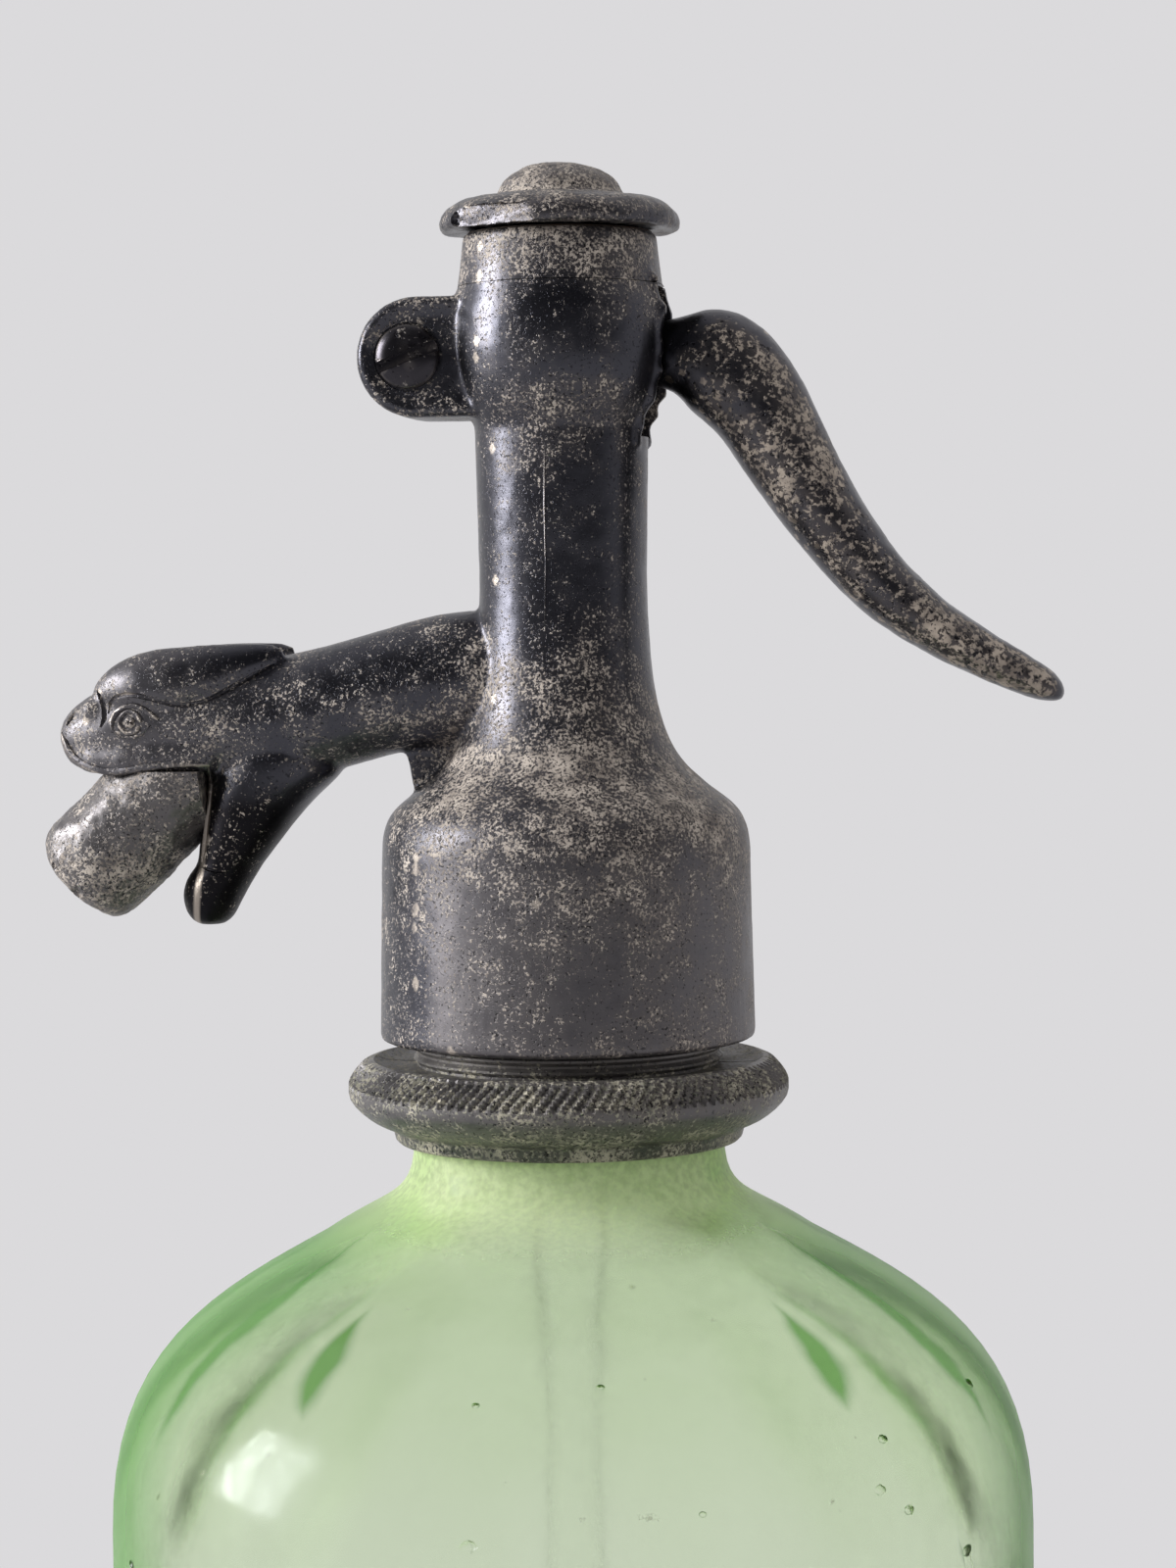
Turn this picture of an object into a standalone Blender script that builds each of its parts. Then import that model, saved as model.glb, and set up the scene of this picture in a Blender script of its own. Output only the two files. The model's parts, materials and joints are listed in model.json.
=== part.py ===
"""Soda siphon: a glass bottle, a split screw collar and a cast head with a lever valve.

Units are metres, +Z is up, and the origin is the middle of the bottle's flat base. +X points to the lever's
handle and -X to the spout. Run it with blender --background --python part.py, or from the text editor.
"""

import math

import bmesh
import bpy
from mathutils import Matrix, Vector

MM = 0.001

# Running and seating clearance between two separate pieces, and how far a cutter runs past what it cuts
CLEARANCE = 0.3 * MM
OVERRUN = 2.0 * MM

# Bottle
BOTTLE_RADIUS = 48.3 * MM
BOTTLE_WALL = 4.6 * MM
BOTTLE_FLOOR = 8.0 * MM
BOTTLE_HEEL_RADIUS = 9.0 * MM
BODY_HEIGHT = 152.0 * MM
SHOULDER_RISE = 40.0 * MM
NECK_BEAD_RADIUS = 14.2 * MM
NECK_BORE_RADIUS = 9.2 * MM
NECK_GROOVE_DEPTH = 1.8 * MM
NECK_SKIRT_STEP = 2.1 * MM
NECK_SKIRT_HEIGHT = 2.3 * MM
NECK_TAPER_HEIGHT = 2.6 * MM
NECK_GROOVE_HEIGHT = 5.6 * MM
NECK_BEAD_HEIGHT = 6.5 * MM
MOUTH_EDGE_RADIUS = 1.2 * MM
NECK_GROOVE_RADIUS = NECK_BEAD_RADIUS - NECK_GROOVE_DEPTH
NECK_RADIUS = NECK_BEAD_RADIUS + NECK_SKIRT_STEP

# Dip tube and what holds it in the neck
TUBE_RADIUS = 3.8 * MM
TUBE_WALL = 1.2 * MM
TUBE_FOOT_GAP = 5.0 * MM
TUBE_HEAD_ABOVE_MOUTH = 2.4 * MM
GROMMET_LENGTH = 9.0 * MM
FERRULE_LENGTH = 6.0 * MM
FERRULE_WALL = 0.9 * MM
FERRULE_FLANGE_INSET = 1.0 * MM
FERRULE_FLANGE_THICKNESS = 1.0 * MM
MOUTH_WASHER_THICKNESS = 3.4 * MM
MOUTH_WASHER_HOLE_GAP = 1.5 * MM
FERRULE_BORE_RADIUS = TUBE_RADIUS + CLEARANCE
FERRULE_RADIUS = FERRULE_BORE_RADIUS + FERRULE_WALL

# Split screw collar
COLLAR_THREAD_WALL = 1.7 * MM
COLLAR_THREAD_RELIEF = 0.5 * MM
COLLAR_THREAD_HEIGHT = 11.4 * MM
COLLAR_FOOT_WALL = 1.6 * MM
FLANGE_OVERHANG = 3.45 * MM
FLANGE_TOP_INSET = 2.3 * MM
FLANGE_HEIGHT = 8.6 * MM
FLANGE_DISH_DEPTH = 0.6 * MM
COLLAR_THREAD_RADIUS = NECK_BEAD_RADIUS + CLEARANCE + COLLAR_THREAD_WALL
COLLAR_FOOT_RADIUS = NECK_RADIUS + CLEARANCE + COLLAR_FOOT_WALL

# Head casting: socket, shoulder, column and bulge
SOCKET_WALL = 3.15 * MM
SOCKET_DRAFT = 0.4 * MM
SOCKET_DEPTH = 10.4 * MM
SOCKET_HEIGHT = 19.9 * MM
SHOULDER_HEIGHT = 7.2 * MM
SHOULDER_TOP_RADIUS = 14.2 * MM
SWEEP_HEIGHT = 22.0 * MM
COLUMN_RADIUS = 8.75 * MM
BULGE_SWELL = 2.55 * MM
BULGE_FOOT_DROP = 7.6 * MM
BULGE_CENTRE_LIFT = 2.4 * MM
BULGE_TOP_LIFT = 7.3 * MM
BULGE_TOP_INSET = 0.65 * MM
HEAD_TOP_INSET = 1.05 * MM
GROOVE_DEPTH = 0.25 * MM
PIVOT_HEIGHT = 71.0 * MM
HEAD_TOP_LIFT = 11.7 * MM
SOCKET_BORE_RADIUS = COLLAR_THREAD_RADIUS + CLEARANCE
SOCKET_RADIUS = SOCKET_BORE_RADIUS + SOCKET_WALL
SOCKET_TOP_RADIUS = SOCKET_RADIUS - SOCKET_DRAFT
FLANGE_RADIUS = SOCKET_RADIUS + FLANGE_OVERHANG
FLANGE_TOP_RADIUS = FLANGE_RADIUS - FLANGE_TOP_INSET
BULGE_RADIUS = COLUMN_RADIUS + BULGE_SWELL
BULGE_TOP_RADIUS = BULGE_RADIUS - BULGE_TOP_INSET
HEAD_TOP_RADIUS = BULGE_TOP_RADIUS - HEAD_TOP_INSET

# Bores down the column
VALVE_CHAMBER_RADIUS = 6.5 * MM
VALVE_CHAMBER_HEIGHT = 8.5 * MM
WATER_BORE_RADIUS = 4.0 * MM
GLAND_BORE_RADIUS = 5.0 * MM
SPRING_BORE_RADIUS = 5.4 * MM
CHANNEL_RADIUS = 2.5 * MM

# Pivot lug and the slots that the lever passes through
PIVOT_REACH = 15.26 * MM
LUG_OFFSET = 0.76 * MM
LUG_RADIUS = 6.1 * MM
LUG_THICKNESS = 11.0 * MM
LUG_EDGE_RADIUS = 1.2 * MM
FRONT_SLOT_WIDTH = 5.0 * MM
FRONT_SLOT_HEIGHT = 6.8 * MM
FRONT_SLOT_DROP = 4.5 * MM
REAR_SLOT_WIDTH = 6.4 * MM
REAR_SLOT_RISE = 7.0 * MM
REAR_SLOT_DROP = 8.4 * MM
LUG_REACH = PIVOT_REACH - LUG_OFFSET

# Spout arm, animal's head, jaw and web
SPOUT_REACH = 54.0 * MM
ARM_LEVEL = 37.8 * MM
ARM_HEIGHT = 14.8 * MM
ARM_WIDTH = 12.6 * MM
MOUTH_ROOF_DROP = 9.7 * MM
JAW_SETBACK = 13.0 * MM
JAW_DROP = 26.0 * MM
JAW_WIDTH = 11.0 * MM
WEB_THICKNESS = 3.0 * MM
WEB_REACH = 17.2 * MM
WEB_FOOT_REACH = 15.4 * MM
EAR_LENGTH = 20.5 * MM
EAR_HEIGHT = 5.8 * MM
EAR_THICKNESS = 3.4 * MM
EAR_SPREAD = 3.9 * MM
EYE_RADIUS = 1.6 * MM
NOSTRIL_RADIUS = 1.0 * MM
JAW_REACH = SPOUT_REACH - JAW_SETBACK

# Nozzle
NOZZLE_RADIUS = 6.3 * MM
NOZZLE_BORE_RADIUS = 2.6 * MM
NOZZLE_SETBACK = 1.5 * MM
NOZZLE_HANG = 12.2 * MM
NOZZLE_JAW_GAP = 1.6 * MM
NOZZLE_LENGTH = 19.0 * MM
NOZZLE_LIP_RADIUS = 1.0 * MM
NOZZLE_SPIGOT_RADIUS = 4.0 * MM
NOZZLE_SPIGOT_LENGTH = 3.4 * MM
NOZZLE_END_REACH = SPOUT_REACH - NOZZLE_SETBACK
NOZZLE_BACK_REACH = JAW_REACH - NOZZLE_JAW_GAP

# Top cap
BRIM_OVERHANG = 3.0 * MM
BRIM_THICKNESS = 3.3 * MM
BRIM_DROOP = 0.5 * MM
BRIM_EDGE_RADIUS = 0.8 * MM
DOME_RADIUS = 6.7 * MM
DOME_HEIGHT = 3.8 * MM
PLUG_LENGTH = 4.2 * MM
CAP_WASHER_THICKNESS = 0.8 * MM
BRIM_RADIUS = HEAD_TOP_RADIUS + BRIM_OVERHANG

# Lever
HANDLE_LENGTH = 40.5 * MM
HANDLE_DROP = 36.0 * MM
HANDLE_THICKNESS = 11.4 * MM
HANDLE_WIDTH = 10.6 * MM
BLADE_THICKNESS = 4.4 * MM
BLADE_HEIGHT = 4.0 * MM
KNUCKLE_RADIUS = 2.9 * MM
PIVOT_EYE_RADIUS = 2.9 * MM

# Pivot screw
SCREW_HEAD_RADIUS = 3.3 * MM
SCREW_HEAD_HEIGHT = 1.8 * MM
SCREW_RECESS_DEPTH = 0.8 * MM
SCREW_SHANK_RADIUS = 1.5 * MM
SCREW_SLOT_WIDTH = 1.1 * MM
SCREW_SLOT_DEPTH = 1.0 * MM
SCREW_SLOT_TURN = math.radians(20)

# Valve train
STEM_RADIUS = 1.6 * MM
STEM_FLANGE_RADIUS = 2.4 * MM
STEM_FLANGE_HEIGHT = 1.0 * MM
YOKE_TOP_LIFT = 6.6 * MM
YOKE_BOTTOM_DROP = 6.8 * MM
YOKE_SOCKET_DEPTH = 2.4 * MM
SPRING_CUP_THICKNESS = 1.2 * MM
SPRING_LENGTH = 12.4 * MM
SPRING_RADIUS = 3.6 * MM
SPRING_WIRE_RADIUS = 0.5 * MM
SPRING_TURNS = 5.5
PACKING_NUT_HEIGHT = 4.2 * MM
PACKING_NUT_SLOT_WIDTH = 1.2 * MM
PACKING_NUT_SLOT_DEPTH = 1.2 * MM
PACKING_HEIGHT = 3.0 * MM
PACKING_WASHER_THICKNESS = 0.6 * MM
SEAT_THICKNESS = 3.5 * MM
SEAT_HOLE_RADIUS = 3.0 * MM
SEAT_GASKET_THICKNESS = 1.0 * MM
SEAL_RADIUS = 5.2 * MM
SEAL_THICKNESS = 2.4 * MM
SEAL_WASHER_RADIUS = 4.6 * MM
SEAL_WASHER_THICKNESS = 0.8 * MM
VALVE_NUT_RADIUS = 3.4 * MM
VALVE_NUT_HEIGHT = 1.6 * MM

# Levels up the axis, each worked out from the one below it
COLLAR_BOTTOM_Z = BODY_HEIGHT + SHOULDER_RISE
NECK_TAPER_Z = COLLAR_BOTTOM_Z + NECK_SKIRT_HEIGHT
NECK_GROOVE_Z = NECK_TAPER_Z + NECK_TAPER_HEIGHT
NECK_BEAD_Z = NECK_GROOVE_Z + NECK_GROOVE_HEIGHT
MOUTH_Z = NECK_BEAD_Z + NECK_BEAD_HEIGHT
WASHER_Z = MOUTH_Z + CLEARANCE
CEILING_Z = WASHER_Z + MOUTH_WASHER_THICKNESS + CLEARANCE
HEAD_Z = CEILING_Z - SOCKET_DEPTH
SEAT_Z = CEILING_Z + VALVE_CHAMBER_HEIGHT
GASKET_Z = SEAT_Z + SEAT_THICKNESS + CLEARANCE
CHAMBER_TOP_Z = GASKET_Z + SEAT_GASKET_THICKNESS + CLEARANCE
PIVOT_Z = HEAD_Z + PIVOT_HEIGHT
HEAD_TOP_Z = PIVOT_Z + HEAD_TOP_LIFT
ARM_Z = HEAD_Z + ARM_LEVEL
MOUTH_ROOF_Z = ARM_Z - MOUTH_ROOF_DROP
YOKE_BOTTOM_Z = PIVOT_Z - YOKE_BOTTOM_DROP
CUP_Z = YOKE_BOTTOM_Z - CLEARANCE - SPRING_CUP_THICKNESS
SPRING_TOP_Z = CUP_Z - CLEARANCE
SPRING_Z = SPRING_TOP_Z - SPRING_LENGTH
NUT_TOP_Z = SPRING_Z - CLEARANCE
NUT_Z = NUT_TOP_Z - PACKING_NUT_HEIGHT
PACKING_Z = NUT_Z - CLEARANCE - PACKING_HEIGHT
PACKING_WASHER_Z = PACKING_Z - CLEARANCE - PACKING_WASHER_THICKNESS
GLAND_FLOOR_Z = PACKING_WASHER_Z - CLEARANCE
SEAL_Z = SEAT_Z - CLEARANCE - SEAL_THICKNESS
SEAL_WASHER_Z = SEAL_Z - CLEARANCE - SEAL_WASHER_THICKNESS
VALVE_NUT_Z = SEAL_WASHER_Z - CLEARANCE - VALVE_NUT_HEIGHT
TUBE_TOP_Z = MOUTH_Z + TUBE_HEAD_ABOVE_MOUTH

# How finely the round pieces are cut
BOTTLE_STEPS = 36
RING_STEPS = 40
HEAD_STEPS = 36
SMALL_STEPS = 20
BALL_STEPS = 10
NUT_SIDES = 6
LOFT_SIDES = 16
CURVE_POINTS = 6
SMOOTH_ANGLE = math.radians(35)
MERGE = 0.00001


def clear_scene():
    for obj in list(bpy.data.objects):
        bpy.data.objects.remove(obj, do_unlink=True)


def new_collection(name):
    collection = bpy.data.collections.new(name)
    bpy.context.scene.collection.children.link(collection)
    return collection


clear_scene()
parts = new_collection("soda_siphon")
cutters = new_collection("soda_siphon_cutters")


def srgb(hex_colour):
    """Linear RGBA of a colour written as six hex digits."""
    values = [int(hex_colour[i : i + 2], 16) / 255 for i in (0, 2, 4)]
    return [v / 12.92 if v <= 0.04045 else ((v + 0.055) / 1.055) ** 2.4 for v in values] + [1]


def make_material(name, hex_colour, metallic, roughness, alpha=1.0):
    material = bpy.data.materials.new(name)
    material.use_nodes = True
    shader = material.node_tree.nodes["Principled BSDF"]
    shader.inputs["Base Color"].default_value = srgb(hex_colour)
    shader.inputs["Metallic"].default_value = metallic
    shader.inputs["Roughness"].default_value = roughness
    shader.inputs["Alpha"].default_value = alpha
    return material


bottle_glass = make_material("bottle_glass", "B9CDB0", 0.0, 0.08, 0.4)
tube_glass = make_material("tube_glass", "C9DCC6", 0.0, 0.08, 0.4)
pewter = make_material("oxidised_pewter", "4B4A4E", 0.9, 0.5)
collar_pewter = make_material("collar_pewter", "4A4743", 0.9, 0.48)
screw_steel = make_material("dark_steel", "2E2D2F", 0.9, 0.5)
brass = make_material("brass", "A5833F", 1.0, 0.35)
spring_steel = make_material("spring_steel", "8A8C8E", 1.0, 0.3)
rubber = make_material("rubber", "3A332E", 0.0, 0.8)
leather = make_material("leather", "6B4A2E", 0.0, 0.8)


def put_in(collection, obj, material=None):
    collection.objects.link(obj)
    if collection is cutters:
        obj.hide_render = True
        obj.display_type = "WIRE"
    if material:
        obj.data.materials.append(material)
    return obj


def object_from(name, shape, collection, material=None, smooth=True):
    """A mesh object made from a bmesh, which is freed."""
    bmesh.ops.recalc_face_normals(shape, faces=shape.faces)
    mesh = bpy.data.meshes.new(name)
    shape.to_mesh(mesh)
    shape.free()
    if smooth:
        mesh.shade_smooth()
        mesh.set_sharp_from_angle(angle=SMOOTH_ANGLE)
    return put_in(collection, bpy.data.objects.new(name, mesh), material)


def turned(name, profile, collection, material=None, steps=SMALL_STEPS, closed=True):
    """A profile of (radius, z) points, outer side from top to bottom, turned about Z by a Screw."""
    mesh = bpy.data.meshes.new(name)
    ends = [(i, i + 1) for i in range(len(profile) - 1)]
    if closed:
        ends.append((len(profile) - 1, 0))
    mesh.from_pydata([(radius, 0, z) for radius, z in profile], ends, [])
    obj = put_in(collection, bpy.data.objects.new(name, mesh), material)
    screw = obj.modifiers.new("turn", "SCREW")
    screw.axis = "Z"
    screw.steps = steps
    screw.render_steps = steps
    screw.use_merge_vertices = True
    screw.merge_threshold = MERGE
    screw.use_smooth_shade = True
    return obj


def washer(name, low, high, inner, outer, collection, material=None, steps=SMALL_STEPS):
    """A flat ring from z = low to z = high."""
    profile = [(inner, high), (outer, high), (outer, low), (inner, low)]
    return turned(name, profile, collection, material, steps)


def rod(name, low, high, radius, collection, material=None, steps=SMALL_STEPS):
    """A plain cylinder on the Z axis."""
    profile = [(0, high), (radius, high), (radius, low), (0, low)]
    return turned(name, profile, collection, material, steps, closed=False)


def cylinder_along(name, start, end, radius, collection, material=None, steps=SMALL_STEPS):
    """A cylinder between two points."""
    start, end = Vector(start), Vector(end)
    turn = (end - start).to_track_quat("Z", "Y").to_matrix().to_4x4()
    shape = bmesh.new()
    bmesh.ops.create_cone(
        shape,
        cap_ends=True,
        segments=steps,
        radius1=radius,
        radius2=radius,
        depth=(end - start).length,
        matrix=Matrix.Translation((start + end) / 2) @ turn,
    )
    return object_from(name, shape, collection, material)


def box(name, low, high, collection, material=None):
    low, high = Vector(low), Vector(high)
    shape = bmesh.new()
    place = Matrix.Translation((low + high) / 2) @ Matrix.Diagonal((*(high - low), 1))
    bmesh.ops.create_cube(shape, size=1, matrix=place)
    return object_from(name, shape, collection, material, smooth=False)


def ball(name, centre, radii, collection):
    shape = bmesh.new()
    place = Matrix.Translation(Vector(centre)) @ Matrix.Diagonal((*radii, 1))
    bmesh.ops.create_uvsphere(
        shape, u_segments=BALL_STEPS, v_segments=BALL_STEPS // 2, radius=1, matrix=place
    )
    return object_from(name, shape, collection)


def loft(name, stations, collection, material=None, square=1.0, sides=LOFT_SIDES):
    """A skin over oval sections.

    Each station has a centre, its upward direction, a half-height along it and a half-width along Y. A square
    below 1 draws the ovals out towards rectangles with round corners.
    """
    shape = bmesh.new()
    rings = []
    for centre, up, half_height, half_width in stations:
        ring = []
        for i in range(sides):
            angle = math.tau * i / sides
            across = math.copysign(abs(math.cos(angle)) ** square, math.cos(angle))
            along = math.copysign(abs(math.sin(angle)) ** square, math.sin(angle))
            place = Vector(centre) + Vector(up) * (along * half_height) + Vector((0, across * half_width, 0))
            ring.append(shape.verts.new(place))
        rings.append(ring)
    for first, second in zip(rings, rings[1:]):
        for i in range(sides):
            j = (i + 1) % sides
            shape.faces.new((first[i], first[j], second[j], second[i]))
    shape.faces.new(reversed(rings[0]))
    shape.faces.new(rings[-1])
    return object_from(name, shape, collection, material)


def boolean(target, other, operation):
    modifier = target.modifiers.new(other.name, "BOOLEAN")
    modifier.operation = operation
    modifier.object = other
    modifier.solver = "EXACT"


def cut(target, other):
    boolean(target, other, "DIFFERENCE")


def join(target, other):
    boolean(target, other, "UNION")


def bezier(start, first, second, end, count=CURVE_POINTS):
    """Points along a cubic curve, both ends included."""
    points = []
    for i in range(count + 1):
        t = i / count
        s = 1 - t
        weights = (s**3, 3 * s * s * t, 3 * s * t * t, t**3)
        points.append(
            tuple(sum(w * p[k] for w, p in zip(weights, (start, first, second, end))) for k in range(2))
        )
    return points


def arc(centre, radius, start, end, count=CURVE_POINTS):
    """Points along a circle's arc, both ends included; angles in degrees from +X."""
    angles = [math.radians(start + (end - start) * i / count) for i in range(count + 1)]
    return [(centre[0] + radius * math.cos(a), centre[1] + radius * math.sin(a)) for a in angles]


def parented(obj, parent):
    """Hangs obj on parent without moving it; obj was made about the parent's place."""
    obj.parent = parent
    return obj


# The outer shoulder leaves the body upright and meets the neck's flare at a slant: shares of the shoulder's
# rise and of the step in radius between body and neck
FLARE_RISE_SHARE = 0.74
FLARE_STEP_SHARE = 0.68
SHOULDER_FULLNESS_SHARE = 0.445
SHOULDER_LEAN_SHARES = (0.39, 0.172)
NECK_LEAN_SHARES = (0.21, 0.115)
NECK_SWEEP_SHARE = 0.16


def shoulder_profile(body_radius, neck_radius, low, high):
    """Outer or inner line of the shoulder, from the neck down to the body."""
    rise, step = high - low, body_radius - neck_radius
    flare = (body_radius - step * FLARE_STEP_SHARE, low + rise * FLARE_RISE_SHARE)
    neck_lean = (flare[0] - step * NECK_LEAN_SHARES[0], flare[1] + rise * NECK_LEAN_SHARES[1])
    neck = bezier((neck_radius, high), (neck_radius, high - rise * NECK_SWEEP_SHARE), neck_lean, flare)
    lean = (flare[0] + step * SHOULDER_LEAN_SHARES[0], flare[1] - rise * SHOULDER_LEAN_SHARES[1])
    body = bezier(flare, lean, (body_radius, low + rise * SHOULDER_FULLNESS_SHARE), (body_radius, low))
    return neck + body[1:]


def make_bottle():
    heel = arc(
        (BOTTLE_RADIUS - BOTTLE_HEEL_RADIUS, BOTTLE_HEEL_RADIUS), BOTTLE_HEEL_RADIUS, 0, -90
    )
    bead = [
        (NECK_BEAD_RADIUS - MOUTH_EDGE_RADIUS, MOUTH_Z),
        (NECK_BEAD_RADIUS, MOUTH_Z - MOUTH_EDGE_RADIUS),
        (NECK_BEAD_RADIUS, NECK_BEAD_Z + MOUTH_EDGE_RADIUS),
        (NECK_GROOVE_RADIUS, NECK_BEAD_Z),
        (NECK_GROOVE_RADIUS, NECK_GROOVE_Z),
        (NECK_RADIUS, NECK_TAPER_Z),
    ]
    outer = bead + shoulder_profile(BOTTLE_RADIUS, NECK_RADIUS, BODY_HEIGHT, COLLAR_BOTTOM_Z) + heel
    inner_radius = BOTTLE_RADIUS - BOTTLE_WALL
    inner_heel = arc(
        (inner_radius - BOTTLE_HEEL_RADIUS, BOTTLE_FLOOR + BOTTLE_HEEL_RADIUS), BOTTLE_HEEL_RADIUS, 0, -90
    )
    shoulder = shoulder_profile(
        inner_radius, NECK_BORE_RADIUS, BODY_HEIGHT - BOTTLE_WALL, COLLAR_BOTTOM_Z - BOTTLE_WALL
    )
    inner = [(NECK_BORE_RADIUS, MOUTH_Z)] + shoulder + inner_heel
    profile = [(0, BOTTLE_FLOOR)] + inner[::-1] + outer + [(0, 0)]
    turned("glass_bottle", profile, parts, bottle_glass, BOTTLE_STEPS, closed=False)


def make_dip_tube():
    foot = BOTTLE_FLOOR + TUBE_FOOT_GAP
    washer("dip_tube", foot, TUBE_TOP_Z, TUBE_RADIUS - TUBE_WALL, TUBE_RADIUS, parts, tube_glass)
    flange_radius = NECK_BORE_RADIUS - FERRULE_FLANGE_INSET
    flange_bottom = MOUTH_Z - FERRULE_FLANGE_THICKNESS
    ferrule_bottom = TUBE_TOP_Z - FERRULE_LENGTH
    profile = [
        (FERRULE_BORE_RADIUS, TUBE_TOP_Z),
        (FERRULE_RADIUS, TUBE_TOP_Z),
        (FERRULE_RADIUS, MOUTH_Z),
        (flange_radius, MOUTH_Z),
        (flange_radius, flange_bottom),
        (FERRULE_RADIUS, flange_bottom),
        (FERRULE_RADIUS, ferrule_bottom),
        (FERRULE_BORE_RADIUS, ferrule_bottom),
    ]
    turned("tube_ferrule", profile, parts, brass)
    grommet_top = flange_bottom - CLEARANCE
    grommet_bottom = grommet_top - GROMMET_LENGTH
    outer = NECK_BORE_RADIUS - CLEARANCE
    profile = [
        (FERRULE_RADIUS + CLEARANCE, grommet_top),
        (outer, grommet_top),
        (outer, grommet_bottom),
        (TUBE_RADIUS + CLEARANCE, grommet_bottom),
        (TUBE_RADIUS + CLEARANCE, ferrule_bottom - CLEARANCE),
        (FERRULE_RADIUS + CLEARANCE, ferrule_bottom - CLEARANCE),
    ]
    turned("tube_grommet", profile, parts, rubber)
    washer(
        "mouth_washer",
        WASHER_Z,
        WASHER_Z + MOUTH_WASHER_THICKNESS,
        FERRULE_RADIUS + MOUTH_WASHER_HOLE_GAP,
        NECK_BEAD_RADIUS,
        parts,
        rubber,
    )


# Outer line of the collar's flange, from under the thread to the foot: shares of the step between the
# foot and the rim, and of the flange's height
FLANGE_SHARES = ((1.0, 0.72), (1.0, 0.56), (0.76, 0.38), (0.5, 0.27), (0.24, 0.21), (0.14, 0.08))


def make_collar():
    thread_top = COLLAR_BOTTOM_Z + FLANGE_HEIGHT + COLLAR_THREAD_HEIGHT
    flange_top = COLLAR_BOTTOM_Z + FLANGE_HEIGHT
    step = FLANGE_RADIUS - COLLAR_FOOT_RADIUS
    rim = [
        (COLLAR_FOOT_RADIUS + step * out, COLLAR_BOTTOM_Z + FLANGE_HEIGHT * up) for out, up in FLANGE_SHARES
    ]
    inside = [
        (NECK_RADIUS + CLEARANCE, COLLAR_BOTTOM_Z),
        (NECK_RADIUS + CLEARANCE, NECK_TAPER_Z + CLEARANCE),
        (NECK_GROOVE_RADIUS + CLEARANCE, NECK_GROOVE_Z + CLEARANCE),
        (NECK_GROOVE_RADIUS + CLEARANCE, NECK_BEAD_Z - CLEARANCE),
        (NECK_BEAD_RADIUS + CLEARANCE, NECK_BEAD_Z + CLEARANCE),
        (NECK_BEAD_RADIUS + CLEARANCE, thread_top),
    ]
    thread_root = COLLAR_THREAD_RADIUS - COLLAR_THREAD_RELIEF
    profile = [
        (thread_root, thread_top),
        (COLLAR_THREAD_RADIUS, thread_top - COLLAR_THREAD_RELIEF),
        (COLLAR_THREAD_RADIUS, HEAD_Z),
        (thread_root, HEAD_Z - COLLAR_THREAD_RELIEF),
        (thread_root, flange_top - FLANGE_DISH_DEPTH),
        (FLANGE_TOP_RADIUS - FLANGE_DISH_DEPTH, flange_top - FLANGE_DISH_DEPTH),
        (FLANGE_TOP_RADIUS, flange_top),
        *rim,
        (COLLAR_FOOT_RADIUS, COLLAR_BOTTOM_Z),
        *inside,
    ]
    for name, side in (("collar_half_front", -1), ("collar_half_back", 1)):
        half = turned(name, profile, parts, collar_pewter, RING_STEPS)
        reach = FLANGE_RADIUS + OVERRUN
        near, far = -side * reach, side * CLEARANCE / 2
        away = box(
            name + "_split",
            (-reach, min(near, far), COLLAR_BOTTOM_Z - OVERRUN),
            (reach, max(near, far), thread_top + OVERRUN),
            cutters,
        )
        cut(half, away)


# Shoulder and sweep of the casting: shares of the shoulder's height, of its step in radius, of the sweep's
# height and of the step from the shoulder to the column
SHOULDER_ROUND_SHARE = 0.62
SHOULDER_DIP_SHARES = (0.45, 0.3)
SWEEP_LEAN_SHARES = (0.33, 0.13)
SWEEP_RISE_SHARE = 0.68
BULGE_WAIST_SHARE = 0.45
BULGE_BELLY_SHARES = (0.55, 0.6)


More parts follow.
